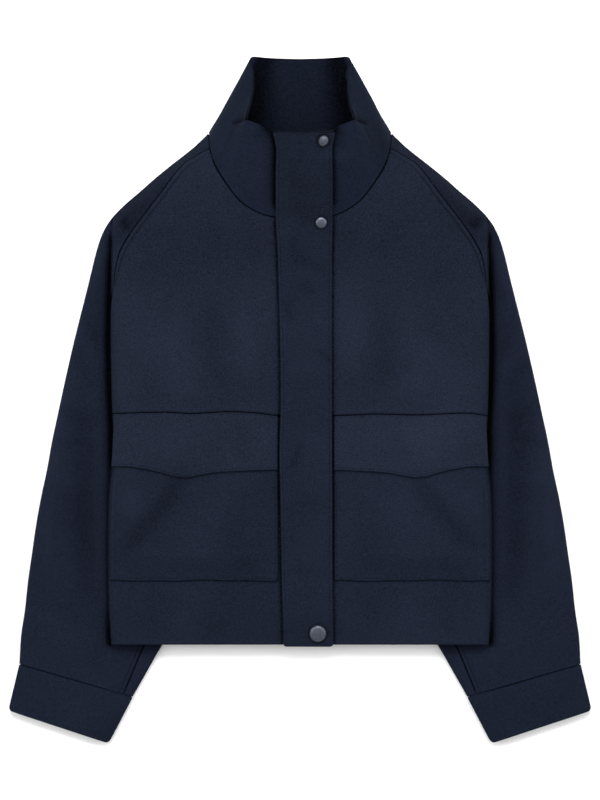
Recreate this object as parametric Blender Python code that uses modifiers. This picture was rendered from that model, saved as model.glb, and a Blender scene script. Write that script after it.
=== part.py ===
# A cropped wool jacket with a funnel collar, laid flat on its back on a table.
# X runs to the wearer's left, Y to the collar and Z up from the table.
# The origin is on the table, under the middle of the jacket.
# Every size below is in millimetres; the meshes are made in metres.
# A row of a table is one section, seam point or fold, and "a" is the distance
# from the centre line, so that one table serves both sides.

import bpy
import bmesh
from math import cos, hypot, pi, sin, sqrt
from mathutils import Vector

METRES = 0.001

CLOTH = 2.0  # wool with its backing
COLLAR_CLOTH = 3.4  # two layers and a stiffener
PLACKET_CLOTH = 3.6  # folded double over the zip
FLAP_CLOTH = 2.4
CUFF_CLOTH = 2.8
SEAM = 0.3  # between two pieces that are sewn together
REST = 0.6  # between a piece and what it only lies on

WAIST_SEAM = -15.6
HEM = -293.4
UNDERARM = -77.0
SIDE_ROLL = 10.0  # how far from its side edge the front starts to turn down
SHOULDER_ROLL = 16.0
LAP_RISE = 50.0  # how far in from its inner fold the sleeve reaches its height
CREASE_TOP = 212.0  # where the crease between body and sleeve dies out
CREASE_FULL = 186.0
SEAM_TUCK = 138.0  # below this the armhole seam lies hidden in the crease
LIFT_RAMP = 40.0  # how far the back takes to rise beside a sleeve under it
UNDER_WRAP = 14.0  # how far the sleeve turns under at its outer edge
FOLD_REACH = 6.0  # plan depth of the lower half of an outer fold
HALF_TURN = 1 - sqrt(0.5)

PLACKET_LEFT_INSET = 0.5


def table(names, *rows):
    return {name: [row[i] for row in rows] for i, name in enumerate(names.split())}


BODY_EDGE = table(
    "y a",
    (HEM, 226.4),
    (-250, 229.0),
    (-216, 229.9),
    (-160, 230.0),
    (-120, 229.2),
    (-84, 226.0),
    (-60, 224.4),
    (-38, 224.2),
    (WAIST_SEAM, 225.2),
    (0, 225.8),
    (80, 227.2),
    (120, 227.0),
    (160, 226.4),
    (190, 225.5),
    (212, 226.0),
)

# The shoulder and the outer edge of the sleeve, from the collar to the cuff.
OUTLINE = table(
    "a y",
    (110.3, 319.2),
    (125.4, 304.6),
    (140.4, 292.4),
    (158.4, 278.4),
    (175.8, 264.0),
    (192.0, 249.6),
    (208.8, 235.2),
    (223.2, 220.8),
    (232.5, 208.0),
    (239.5, 193.0),
    (244.6, 176.5),
    (250.8, 151.2),
    (255.5, 132.0),
    (263.4, 100.8),
    (272.5, 64.0),
    (283.2, 16.8),
    (290.4, -16.8),
    (297.6, -50.4),
    (303.6, -84.0),
    (310.8, -117.6),
    (316.8, -151.2),
    (321.6, -184.8),
    (326.4, -218.4),
    (330.0, -252.0),
    (334.8, -285.6),
    (336.5, -316.6),
    (338.0, -340.0),
)

# Height of the front above the table: on the centre line and near its side.
FRONT_RISE = table(
    "y crown side",
    (HEM, 24.5, 22.0),
    (-216, 27.0, 23.0),
    (-80, 31.0, 24.0),
    (80, 34.0, 24.0),
    (160, 38.0, 23.5),
    (216, 42.0, 22.5),
    (260, 44.0, 22.5),
    (320, 44.0, 22.5),
)

# Height of the sleeve: its crown, the crease beside the body, its inner fold,
# and the middle of its outer edge.
SLEEVE_RISE = table(
    "y crown crease fold edge",
    (-380, 11.5, 11.5, 8.5, 5.4),
    (-330, 12.0, 11.4, 8.5, 5.4),
    (-306, 12.8, 10.0, 7.6, 5.4),
    (-292, 13.4, 9.0, 7.0, 5.4),
    (-150, 14.8, 9.0, 6.6, 5.4),
    (-100, 15.2, 6.7, 6.5, 5.5),
    (-60, 15.6, 6.7, 6.5, 5.6),
    (-25, 16.0, 8.4, 6.5, 5.8),
    (0, 16.2, 9.0, 6.5, 6.0),
    (100, 17.4, 9.0, 6.5, 6.4),
    (186, 19.0, 9.0, 6.5, 8.0),
    (240, 20.0, 20.0, 6.5, 9.0),
    (320, 22.0, 22.0, 6.5, 9.0),
)

# Where the front's side edge ends above the sleeve, then above the back.
FRONT_RIM = table(
    "y z",
    (HEM, 12.4),
    (-95, 12.4),
    (-60, 9.8),
    (120, 9.8),
    (150, 9.0),
    (330, 9.0),
)

# Each section of the sleeve, from the neck to the cuff seam: its outer edge and
# the armhole seam on the back. Below the underarm the sleeve is a closed tube:
# the back point is its inner fold, and "over" is how far the under sleeve comes
# round that fold to the seam that shows.
SLEEVE = table(
    "outer_a outer_y back_a back_y over",
    (110.3, 319.2, 84.0, 304.4, 0),
    (118.0, 311.6, 95.0, 291.0, 0),
    (127.5, 302.8, 108.0, 278.5, 0),
    (140.4, 292.4, 122.0, 266.0, 0),
    (158.4, 278.4, 139.0, 249.0, 0),
    (175.8, 264.0, 154.0, 231.0, 0),
    (192.0, 249.6, 167.0, 214.0, 0),
    (208.8, 235.2, 178.0, 197.0, 0),
    (223.2, 220.8, 187.0, 180.0, 0),
    (232.5, 208.0, 194.0, 163.0, 0),
    (239.5, 193.0, 200.0, 146.0, 0),
    (244.6, 176.5, 205.0, 130.0, 0),
    (250.8, 151.2, 211.0, 108.0, 0),
    (255.5, 132.0, 214.5, 88.0, 0),
    (263.4, 100.8, 216.5, 62.0, 0),
    (272.5, 64.0, 217.6, 38.0, 0),
    (283.2, 16.8, 217.6, 8.0, 0),
    (290.4, -16.8, 217.6, -20.0, 0),
    (297.6, -50.4, 215.5, -50.0, 0),
    (303.6, -84.0, 202.0, -84.0, 8),
    (310.8, -117.6, 174.0, -118.0, 22),
    (316.8, -151.2, 155.0, -153.0, 24),
    (321.6, -184.8, 147.0, -190.0, 24),
    (326.4, -218.4, 142.0, -228.0, 24),
    (330.0, -252.0, 152.0, -268.0, 24),
    (334.8, -285.6, 175.0, -310.5, 18),
    (336.5, -316.6, 200.9, -356.2, 11),
)

# The armhole seam on the front, one row for each open section of the sleeve.
ARMHOLE = table(
    "a y",
    (108.6, 301.0),
    (116.8, 296.9),
    (125.0, 291.9),
    (137.5, 284.3),
    (151.3, 268.9),
    (164.8, 250.5),
    (176.5, 235.3),
    (188.5, 220.0),
    (200.4, 205.4),
    (207.5, 194.8),
    (213.5, 185.8),
    (219.0, 176.0),
    (222.8, 154.0),
    (225.6, 136.0),
    (220.0, 104.0),
    (218.0, 66.0),
    (217.6, 16.0),
    (218.0, -18.0),
    (219.4, -50.0),
)
OPEN_SECTIONS = 19  # those above the underarm, where the tube is open
SHOULDER_SECTIONS = 14  # those whose front seam shows above the crease

# The seam between front and collar, from the centre front to the shoulder.
NECK_SEAM = table(
    "a y",
    (8.0, 216.2),
    (31.2, 218.4),
    (44.4, 221.5),
    (60.0, 229.2),
    (73.2, 239.2),
    (86.4, 255.6),
    (98.4, 273.6),
    (101.0, 278.4),
    (103.0, 282.8),
    (105.0, 288.0),
    (108.6, 301.0),
    (109.6, 310.0),
    (110.3, 319.2),
)
FRONT_NECK = 10  # how many of these rows are the front's; the rest is sleeve

# The collar's top edge, from the centre back to the centre front. Each row
# stands over one point of the neck seam, in the same order.
COLLAR_TOP = table(
    "a y z",
    (0.0, 408.6, 22.0),
    (28.0, 409.4, 22.5),
    (45.0, 410.6, 25.0),
    (54.0, 411.5, 29.0),
    (57.5, 410.8, 33.0),
    (59.4, 409.0, 36.5),
    (60.2, 405.8, 39.5),
    (58.6, 399.8, 42.0),
    (56.6, 391.8, 45.0),
    (56.4, 377.0, 50.0),
    (58.0, 366.0, 53.5),
    (61.6, 351.0, 58.5),
    (65.0, 341.0, 62.5),
    (66.2, 335.2, 65.5),
    (58.0, 331.6, 68.0),
    (47.6, 327.4, 69.5),
    (38.0, 320.6, 70.0),
    (9.0, 318.6, 70.0),
)

# The neck seam across the back: centre back, then towards the shoulder fold.
BACK_NECK = table("a y", (0.0, 300.2), (35.0, 300.6), (84.0, 304.4))

# The outline of the back from the hem to the neck.
BACK_EDGE = table(
    "y a",
    (HEM, 225.6),
    (-268, 227.8),
    (-240, 228.8),
    (-215, 229.2),
    (-190, 229.4),
    (-165, 229.2),
    (-140, 228.8),
    (-118, 228.2),
    (-100, 227.0),
    (-86, 223.4),
    (-76, 218.0),
    (-66, 212.0),
    (-58, 208.0),
    (-50, 213.8),
    (-38, 216.2),
    (-20, 217.2),
    (8, 217.2),
    (38, 217.2),
    (62, 216.1),
    (88, 214.1),
    (108, 210.6),
    (130, 204.6),
    (146, 199.6),
    (163, 193.6),
    (180, 186.6),
    (197, 177.6),
    (214, 166.6),
    (231, 153.6),
    (249, 138.6),
    (266, 121.6),
    (278.5, 107.6),
    (291, 94.6),
    (304.1, 83.6),
)

# The inner edge of what lifts the back: the sleeve folded under the body.
LIFT_EDGE = table(
    "y a",
    (HEM, 163.0),
    (-268, 150.0),
    (-228, 140.0),
    (-190, 145.0),
    (-153, 153.0),
    (-118, 172.0),
    (-84, 199.0),
    (-76, 205.0),
    (-66, 212.0),
    (-58, 230.0),
    (-50, 247.0),
    (-38, 260.0),
    (60, 300.0),
)

# The pointed lower edge of the pocket flap.
FLAP_EDGE = table(
    "a y",
    (25, -83.6),
    (41, -83.9),
    (71, -85.0),
    (100, -86.8),
    (120, -90.0),
    (138, -92.9),
    (150, -91.7),
    (164, -87.6),
    (186, -82.6),
    (208, -79.7),
    (226, -80.2),
)

POCKET_BOTTOM = -216.4
POCKET_TOP = -64.0
POCKET_SIDE_INSET = 3.6  # from the body's side edge
POCKET_BULGE = 6.5
POCKET_MOUTH = 2.6  # how far the open edge stands off, under the flap
FLAP_SIT = 3.2  # how much lower the front lies under the pocket flap
POCKET_INNER = {"right": 26.2, "left": 40.6}  # they end beside the placket

# The placket's two edges, from the hem to the top of the collar.
PLACKET = table(
    "y right left",
    (-296.0, -21.4, 38.6),
    (-291.0, -20.9, 40.4),
    (-216, -22.9, 39.6),
    (-120, -24.5, 39.4),
    (-66, -25.7, 39.0),
    (0, -24.2, 38.9),
    (169, -27.6, 38.9),
    (218, -30.0, 39.6),
    (264, -30.2, 39.6),
    (298, -29.4, 38.9),
    (308, -31.0, 40.4),
    (319.8, -34.0, 43.0),
)

SNAPS = table(
    "name x y radius",
    ("snap_top", 27.6, 309.1, 7.5),
    ("snap_neck", 25.4, 211.9, 7.5),
    ("snap_hem", 21.5, -279.6, 11.0),
)

# The cuff's four corners in plan and its thickness at seam and edge.
CUFF_SEAM_OUTER = (336.7, -317.0)
CUFF_SEAM_INNER = (200.7, -356.7)
CUFF_END_OUTER = (350.0, -372.6)
CUFF_END_INNER = (229.6, -412.3)
CUFF_THICK = 11.6
CUFF_CORNER = 5.0


NAVY = (0.016, 0.021, 0.037)
NAVY_FLAP = (0.018, 0.024, 0.043)
NAVY_POCKET = (0.014, 0.019, 0.034)
NAVY_COLLAR = (0.012, 0.017, 0.030)
NAVY_CUFF = (0.013, 0.018, 0.032)
GUNMETAL = (0.07, 0.075, 0.09)


# Smooth values between the rows of a table

def slope_at(keys, values, i):
    if i == 0 or i == len(keys) - 1:
        j = min(i, len(keys) - 2)
        return (values[j + 1] - values[j]) / (keys[j + 1] - keys[j])
    before = (values[i] - values[i - 1]) / (keys[i] - keys[i - 1])
    after = (values[i + 1] - values[i]) / (keys[i + 1] - keys[i])
    if before * after <= 0:
        return 0.0
    return 2 * before * after / (before + after)


def between(keys, values, key):
    if key <= keys[0]:
        return values[0]
    if key >= keys[-1]:
        return values[-1]
    i = max(j for j in range(len(keys) - 1) if keys[j] <= key)
    span = keys[i + 1] - keys[i]
    t = (key - keys[i]) / span
    rise = values[i + 1] - values[i]
    start = slope_at(keys, values, i) * span
    end = slope_at(keys, values, i + 1) * span
    return values[i] + t * (start + t * ((3 * rise - 2 * start - end) + t * (start + end - 2 * rise)))


def at(rows, column, key, key_column="y"):
    return between(rows[key_column], rows[column], key)


def smooth(t):
    t = min(max(t, 0.0), 1.0)
    return t * t * (3 - 2 * t)


def rounded(distance, reach):
    t = 1 - min(max(distance / reach, 0.0), 1.0)
    return sqrt(1 - t * t)


def mix(p, q, t):
    return tuple(m + (n - m) * t for m, n in zip(p, q))


# The outline of the jacket and the height of its upper face

def distance_to_outline(a, y):
    nearest = 1e9
    points = list(zip(OUTLINE["a"], OUTLINE["y"]))
    for (a0, y0), (a1, y1) in zip(points, points[1:]):
        run = (a1 - a0) ** 2 + (y1 - y0) ** 2
        t = ((a - a0) * (a1 - a0) + (y - y0) * (y1 - y0)) / run
        t = min(max(t, 0.0), 1.0)
        nearest = min(nearest, hypot(a - a0 - t * (a1 - a0), y - y0 - t * (y1 - y0)))
    return nearest


def outline_inward(y):
    # The direction, in plan, from the outer edge to the inside of the sleeve.
    keys = [-value for value in OUTLINE["y"]]
    step = 4.0
    before = between(keys, OUTLINE["a"], -(y + step))
    after = between(keys, OUTLINE["a"], -(y - step))
    run = hypot(after - before, 2 * step)
    return (-2 * step / run, -(after - before) / run)


def outline_a(y):
    return between([-value for value in OUTLINE["y"]], OUTLINE["a"], -y)


def shoulder_width(y):
    return outline_a(y) if y > CREASE_TOP else at(BODY_EDGE, "a", y)


def body_plateau(a, y):
    side = at(FRONT_RISE, "side", y)
    crown = at(FRONT_RISE, "crown", y)
    share = min(a / shoulder_width(y), 1.0)
    return side + (crown - side) * (1 - share * share)


def front_height(a, y, crease=None):
    # The upper face of the fronts, and of the sleeve inside the crease.
    core = body_plateau(a, y)
    depth = smooth((CREASE_TOP - y) / (CREASE_TOP - CREASE_FULL))
    if depth > 0:
        low = at(FRONT_RIM, "z", y) if crease is None else crease
        low = core + (low - core) * depth
        core = low + (core - low) * rounded(at(BODY_EDGE, "a", y) - a, SIDE_ROLL)
    if y > SEAM_TUCK:
        edge = at(SLEEVE_RISE, "edge", y)
        core = edge + (core - edge) * rounded(distance_to_outline(a, y), SHOULDER_ROLL)
    return core


def sleeve_height(a, y):
    # The upper face of the sleeve, also where it lies under the body.
    body = at(BODY_EDGE, "a", y)
    crease = at(SLEEVE_RISE, "crease", y)
    crown = at(SLEEVE_RISE, "crown", y)
    edge = at(SLEEVE_RISE, "edge", y)
    if y > SEAM_TUCK:
        if a <= body or y > CREASE_TOP:
            return front_height(a, y, crease=min(crease, 9.0))
        side = at(FRONT_RISE, "side", y)
        depth = smooth((CREASE_TOP - y) / (CREASE_TOP - CREASE_FULL))
        low = side + (9.0 - side) * depth
        core = low + (crown - low) * smooth((a - body) / 22.0)
        roll = SHOULDER_ROLL
    elif a > body:
        core = crease + (crown - crease) * smooth((a - body) / 24.0)
        roll = 13.0
    elif y > UNDERARM:
        core = crease
        roll = 13.0
    else:
        fold = at(SLEEVE_RISE, "fold", y)
        inner = between([-v for v in SLEEVE["back_y"]], SLEEVE["back_a"], -y)
        core = fold + (crease - fold) * min(max((a - inner) / LAP_RISE, 0.0), 1.0)
        roll = 13.0
    return edge + (core - edge) * rounded(distance_to_outline(a, y), roll)


def back_height(a, y):
    # The lower face of the back: on the table, or on the sleeve under it.
    inside = a - at(LIFT_EDGE, "a", y)
    first = 7.3 * smooth((inside + LIFT_RAMP) / LIFT_RAMP)
    second = 2.5 * min(max(inside / LAP_RISE, 0.0), 1.0)
    return first + second


# Making meshes and objects

def material(name, colour, roughness, metallic=0.0):
    made = bpy.data.materials.new(name)
    made.use_nodes = True
    shader = made.node_tree.nodes["Principled BSDF"]
    shader.inputs["Base Color"].default_value = (*colour, 1.0)
    shader.inputs["Roughness"].default_value = roughness
    shader.inputs["Metallic"].default_value = metallic
    return made


def cloth_sheet(name, rows, thickness, tint, flip=False, mirror=False):
    # A grid whose points are the given rows, thickened inwards.
    across = len(rows[0]) - 1
    down = len(rows) - 1
    shape = bmesh.new()
    bmesh.ops.create_grid(shape, x_segments=across, y_segments=down, size=0.5)
    for vertex in shape.verts:
        column = round((vertex.co.x + 0.5) * across)
        row = round((vertex.co.y + 0.5) * down)
        vertex.co = Vector(rows[row][column]) * METRES
    if flip:
        bmesh.ops.reverse_faces(shape, faces=shape.faces[:])
    bmesh.ops.triangulate(shape, faces=shape.faces[:], quad_method="FIXED")
    mesh = bpy.data.meshes.new(name)
    shape.to_mesh(mesh)
    shape.free()
    mesh.shade_smooth()
    mesh.materials.append(material(name + " wool", tint, 0.9))
    piece = bpy.data.objects.new(name, mesh)
    jacket.objects.link(piece)
    if mirror:
        half = piece.modifiers.new("Mirror", "MIRROR")
        half.merge_threshold = 0.0001
    wall = piece.modifiers.new("Solidify", "SOLIDIFY")
    wall.thickness = thickness * METRES
    wall.offset = -1.0
    return piece


def sided(points, sign):
    return [[(sign * a, y, z) for a, y, z in row] for row in points]


# The fronts

ROLL_COLUMNS = (0, 0.16, 0.32, 0.48, 0.64, 0.79, 0.92, 0.962, 0.984, 0.9955, 1)
CENTRE_GAP = 0.4


def armhole_gap(i):
    # Half the seam, wider where both pieces roll down into the crease.
    return SEAM / 2 if i < 9 else 0.35


def front_rows():
    # The two ends of each row of the upper front, from the waist to the neck.
    rows = []
    for y in (WAIST_SEAM + SEAM / 2, 22.0, 62.0, 100.0):
        rows.append(((CENTRE_GAP, y), (at(BODY_EDGE, "a", y), y)))
    inner = [(CENTRE_GAP, y) for y in (130.0, 152.0, 174.0, 196.0, 216.0)]
    inner += list(zip(NECK_SEAM["a"], NECK_SEAM["y"]))[1:FRONT_NECK]
    for neck, i in zip(inner, reversed(range(SHOULDER_SECTIONS))):
        gap = armhole_gap(i)
        rows.append((neck, (ARMHOLE["a"][i] - gap, ARMHOLE["y"][i] - gap)))
    return rows


def turned_under(edge, inward, height):
    # Points that carry an outer edge round to the underside.
    reaches = ((FOLD_REACH * HALF_TURN, height * HALF_TURN), (FOLD_REACH, 0.0), (UNDER_WRAP, 0.0))
    return [(edge[0] + inward[0] * r, edge[1] + inward[1] * r, z) for r, z in reaches]


def make_front_upper(side, sign):
    points = []
    for i, (inner, outer) in enumerate(front_rows()):
        evenly = smooth((i - 4) / 6)
        row = []
        for k, share in enumerate(ROLL_COLUMNS):
            share += (k / (len(ROLL_COLUMNS) - 1) - share) * evenly
            a, y = mix(inner, outer, share)
            row.append((a, y, front_height(a, y)))
        points.append(row)
    cloth_sheet("front_upper_" + side, sided(points, sign), CLOTH, NAVY, flip=sign < 0)


LOWER_SHARES = (0.17, 0.34, 0.5, 0.66, 0.8, 0.92, 1)
LOWER_ROWS = (HEM, -270, -243, POCKET_BOTTOM, -196, -168, -138, -112, -88, POCKET_TOP, -40)


def lower_columns(side, y):
    # Distances from the centre line; the second and tenth are the pocket's edges.
    edge = at(BODY_EDGE, "a", y)
    inner = POCKET_INNER[side]
    reach = edge - POCKET_SIDE_INSET - inner
    pocket = [inner + reach * share for share in LOWER_SHARES]
    return [CENTRE_GAP, inner] + pocket + [edge - 1.0, edge]


def lower_height(a, y):
    sit = FLAP_SIT * smooth((y - POCKET_BOTTOM) / 130.0)
    rim = at(FRONT_RIM, "z", y)
    return max(front_height(a, y) - sit * rounded(at(BODY_EDGE, "a", y) - a, SIDE_ROLL), rim)


def lower_point(a, y, out):
    # A point of the lower front moved out of it along its own normal.
    step = 0.4
    slope_a = (lower_height(a + step, y) - lower_height(a - step, y)) / (2 * step)
    slope_y = (lower_height(a, y + step) - lower_height(a, y - step)) / (2 * step)
    length = sqrt(1 + slope_a * slope_a + slope_y * slope_y)
    base = lower_height(a, y)
    return (a - slope_a * out / length, y - slope_y * out / length, base + out / length)


def make_front_lower(side, sign):
    points = []
    for y in LOWER_ROWS + (WAIST_SEAM - SEAM / 2,):
        points.append([(a, y, lower_height(a, y)) for a in lower_columns(side, y)])
    cloth_sheet("front_lower_" + side, sided(points, sign), CLOTH, NAVY, flip=sign < 0)


def pocket_bulge(share, y):
    rise = smooth((y - POCKET_BOTTOM) / 34.0)
    sides = smooth(share / 0.22) * smooth((1 - share) / 0.2)
    mouth = smooth((POCKET_TOP - 20 - y) / 70.0)
    full = POCKET_MOUTH + (POCKET_BULGE - POCKET_MOUTH) * mouth
    return full * rise * sides


def make_pocket(side, sign):
    points = []
    for y in LOWER_ROWS:
        if not POCKET_BOTTOM <= y <= POCKET_TOP:
            continue
        columns = lower_columns(side, y)[1:-2]
        row = []
        for a in columns:
            share = (a - columns[0]) / (columns[-1] - columns[0])
            row.append(lower_point(a, y, CLOTH + 0.4 + pocket_bulge(share, y)))
        points.append(row)
    cloth_sheet("pocket_" + side, sided(points, sign), CLOTH, NAVY_POCKET, flip=sign < 0)


FLAP_STEPS = (0, 0.3, 0.6, 0.84, 1)


def make_flap(side, sign):
    points = []
    top = WAIST_SEAM - SEAM
    for step in reversed(FLAP_STEPS):
        row = []
        columns = lower_columns(side, top + (-84 - top) * step)[1:-2]
        for a in columns:
            y = top + (at(FLAP_EDGE, "y", a, "a") - top) * step
            share = (a - columns[0]) / (columns[-1] - columns[0])
            over = POCKET_MOUTH * smooth(share / 0.22) * smooth((1 - share) / 0.2)
            lift = (CLOTH + over + 0.7) * smooth(step / 0.62)
            row.append(lower_point(a, y, SEAM + FLAP_CLOTH + 0.35 + lift))
        points.append(row)
    cloth_sheet("flap_" + side, sided(points, sign), FLAP_CLOTH, NAVY_FLAP, flip=sign < 0)


# The back, lifted at its sides by the sleeves that are folded under it

def back_columns(y, edge):
    # The columns follow the ramp where the back rises over the sleeves.
    foot = min(at(LIFT_EDGE, "a", y) - LIFT_RAMP, edge - 24.0)
    ramp = min(LIFT_RAMP, 0.6 * (edge - foot))
    columns = [0.0, 0.4 * foot, 0.75 * foot, foot]
    columns += [foot + ramp / 3, foot + 2 * ramp / 3, foot + ramp]
    rest = edge - foot - ramp
    columns += [foot + ramp + rest / 3, foot + ramp + 2 * rest / 3, edge]
    return columns


def make_back():
    points = []
    top = BACK_EDGE["y"][-1]
    for y, edge in zip(BACK_EDGE["y"], BACK_EDGE["a"]):
        row = []
        for a in back_columns(y, edge):
            # The rows near the neck bend to follow its seam.
            neck = between(BACK_NECK["a"], BACK_NECK["y"], a) - SEAM
            bend = (neck - top) * smooth((y - 250.0) / (top - 250.0))
            row.append((a, y + bend, back_height(a, y)))
        points.append(row)
    cloth_sheet("back", points, CLOTH, NAVY, flip=True, mirror=True)


# The sleeves

TOP_SHARES = (0, 0.05, 0.13, 0.25, 0.45, 0.66, 0.84, 1)


def section(i):
    # Outer edge, inner edge and front seam of one section of the sleeve.
    outer = (SLEEVE["outer_a"][i], SLEEVE["outer_y"][i])
    inner = (SLEEVE["back_a"][i], SLEEVE["back_y"][i])
    if i < OPEN_SECTIONS:
        gap = armhole_gap(i)
        return outer, inner, (ARMHOLE["a"][i] + gap, ARMHOLE["y"][i] + gap)
    length = hypot(outer[0] - inner[0], outer[1] - inner[1])
    return outer, inner, mix(inner, outer, (SLEEVE["over"][i] + REST) / length)


def sleeve_inward(i, outer):
    if i < 3:
        return (-0.66, -0.75)
    return outline_inward(outer[1])


def crease_point(outer, front, i):
    # Where a section crosses the crease beside the body.
    if i < 10:
        return mix(outer, front, (0.75, 0.75, 0.75, 0.75, 0.75, 0.75, 0.75, 0.72, 0.6, 0.45)[i])
    for step in range(1, 100):
        a, y = mix(outer, front, step / 100)
        if a < at(BODY_EDGE, "a", y) + 0.5:
            return mix(outer, front, min(step / 100, 0.94))
    return mix(outer, front, 0.9)


def make_sleeve_top(side, sign):
    points = []
    for i in range(len(SLEEVE["over"])):
        outer, inner, front = section(i)
        edge = at(SLEEVE_RISE, "edge", outer[1])
        row = list(reversed(turned_under(outer, sleeve_inward(i, outer), edge)))
        crease = crease_point(outer, front, i)
        for share in TOP_SHARES:
            a, y = mix(outer, crease, share)
            row.append((a, y, edge if share == 0 else sleeve_height(a, y)))
        for share in (0.3, 0.65, 1):
            a, y = mix(crease, front, share)
            row.append((a, y, sleeve_height(a, y)))
        points.append(row)
    cloth_sheet("sleeve_top_" + side, sided(points, sign), CLOTH, NAVY, flip=sign < 0)


FLAT_SHARES = (0, 0.25, 0.5, 0.75, 1)
FOLD_ANGLES = (-60, -25, 10, 50, 90)
LIP_ANGLES = (-77, -66, -55, -44, -33, -22, -10)
FOLD_DEPTH = 3.6


def make_sleeve_under(side, sign):
    points = []
    for i in range(len(SLEEVE["over"])):
        outer, inner, front = section(i)
        inward = sleeve_inward(i, outer)
        reach = UNDER_WRAP + SEAM
        start = (outer[0] + inward[0] * reach, outer[1] + inward[1] * reach)
        length = hypot(start[0] - inner[0], start[1] - inner[1])
        away = ((start[0] - inner[0]) / length, (start[1] - inner[1]) / length)
        depth = 12.0 if i < OPEN_SECTIONS - 1 else FOLD_DEPTH
        bend = (inner[0] + away[0] * depth, inner[1] + away[1] * depth)
        row = [(*mix(start, bend, share), 0.0) for share in FLAT_SHARES]
        height = at(SLEEVE_RISE, "fold", inner[1])
        if i < OPEN_SECTIONS - 1:
            row += [(*mix(bend, inner, k / 7), 0.0) for k in range(1, 8)]
        else:
            # At the underarm the fold has only begun to turn up.
            begun = i == OPEN_SECTIONS - 1
            for degrees in LIP_ANGLES if begun else FOLD_ANGLES:
                turn = degrees * pi / 180
                reach = FOLD_DEPTH * cos(turn)
                z = height / 2 + height / 2 * sin(turn)
                row.append((bend[0] - away[0] * reach, bend[1] - away[1] * reach, z))
            for share in () if begun else (0.5, 1):
                reach = (SLEEVE["over"][i] - FOLD_DEPTH) * share
                a, y = bend[0] + away[0] * reach, bend[1] + away[1] * reach
                row.append((a, y, sleeve_height(a, y)))
        points.append(row)
    cloth_sheet("sleeve_under_" + side, sided(points, sign), CLOTH, NAVY, flip=sign > 0)


def make_cuff(side, sign):
    # A flat band round the sleeve's end, with its two end corners rounded off.
    count = 24
    steps = ((0, 0), (0.35, 0), (0.7, 0), (0.93, 0.12), (1, 0.6))
    points = []
    for along, tuck in steps:
        outer = mix(CUFF_SEAM_OUTER, CUFF_END_OUTER, along)
        inner = mix(CUFF_SEAM_INNER, CUFF_END_INNER, along)
        outer, inner = (
            mix(outer, inner, tuck * CUFF_CORNER / 125),
            mix(inner, outer, tuck * CUFF_CORNER / 125),
        )
        middle = mix(outer, inner, 0.5)
        half = hypot(outer[0] - inner[0], outer[1] - inner[1]) / 2
        away = ((outer[0] - middle[0]) / half, (outer[1] - middle[1]) / half)
        row = []
        for k in range(count + 1):
            turn = 2 * pi * k / count
            flat = cos(turn)
            reach = half * (abs(flat) ** 0.35) * (1 if flat > 0 else -1)
            tall = CUFF_THICK / 2 * (1 + (abs(sin(turn)) ** 0.75) * (1 if sin(turn) > 0 else -1))
            row.append((middle[0] + away[0] * reach, middle[1] + away[1] * reach, tall))
        points.append(row)
    piece = cloth_sheet("cuff_" + side, sided(points, sign), CUFF_CLOTH, NAVY_CUFF, flip=sign < 0)
    shape = bmesh.new()
    shape.from_mesh(piece.data)
    bmesh.ops.remove_doubles(shape, verts=shape.verts[:], dist=0.00001)
    shape.to_mesh(piece.data)
    shape.free()


# The collar

def neck_ring():
    # The collar's lower edge, from the centre back to the centre front.
    ring = [(a, y, 0.0) for a, y in zip(BACK_NECK["a"], BACK_NECK["y"])]
    shoulder = (NECK_SEAM["a"][-1], NECK_SEAM["y"][-1], at(SLEEVE_RISE, "edge", 319.2))
    ring += list(reversed(turned_under(shoulder, (-0.66, -0.75), shoulder[2])))
    ring.append(shoulder)
    for a, y in reversed(list(zip(NECK_SEAM["a"], NECK_SEAM["y"]))[:-1]):
        ring.append((a, y, front_height(a, y)))
    return ring


COLLAR_STEPS = (0, 0.14, 0.34, 0.56, 0.78, 1)
COLLAR_SWELL = 2.4


def collar_rows():
    ring = neck_ring()
    top = list(zip(COLLAR_TOP["a"], COLLAR_TOP["y"], COLLAR_TOP["z"]))
    rows = []
    for step in COLLAR_STEPS:
        row = []
        for low, high in zip(ring, top):
            gap = between((0, 60, 95, 108, 111), (0.3, 0.3, 0.9, 1.1, 1.5), low[0])
            gap /= hypot(high[0] - low[0], high[1] - low[1], high[2] - low[2])
            a, y, z = mix(low, high, gap + (1 - gap) * step)
            front = smooth((low[2] - 20.0) / 16.0)
            z += COLLAR_SWELL * sin(pi * step) * front
            row.append((a, y, z))
        rows.append(row)
    return rows


def make_collar():
    cloth_sheet("collar", collar_rows(), COLLAR_CLOTH, NAVY_COLLAR, flip=True, mirror=True)


# The placket over the zip, and its snaps

def centre_height(x, y):
    # What the placket lies on: the fronts, then the collar.
    if y < 216.0:
        return front_height(abs(x), y)
    share = (y - 216.0) / (318.6 - 216.0)
    return 42.0 + (70.0 - 42.0) * share + COLLAR_SWELL * sin(pi * min(share, 1.0))


PLACKET_LIFT = REST + PLACKET_CLOTH


def placket_rows():
    rows = []
    stations = (-296.0, -292.5, -286, -262, -236, -200, -160, -120, -80, -40, 0, 40, 80, 120,
                150, 180, 205, 218, 232, 252, 275, 296, 310, 319.8)
    for y in stations:
        right = at(PLACKET, "right", y) + PLACKET_LEFT_INSET
        left = at(PLACKET, "left", y)
        row = []
        for share in (0, 0.25, 0.5, 0.75, 1):
            x = right + (left - right) * share
            row.append((x, y, centre_height(x, y) + PLACKET_LIFT))
        rows.append(row)
    return rows


def make_placket():
    cloth_sheet("placket", placket_rows(), PLACKET_CLOTH, NAVY_POCKET)


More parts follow.
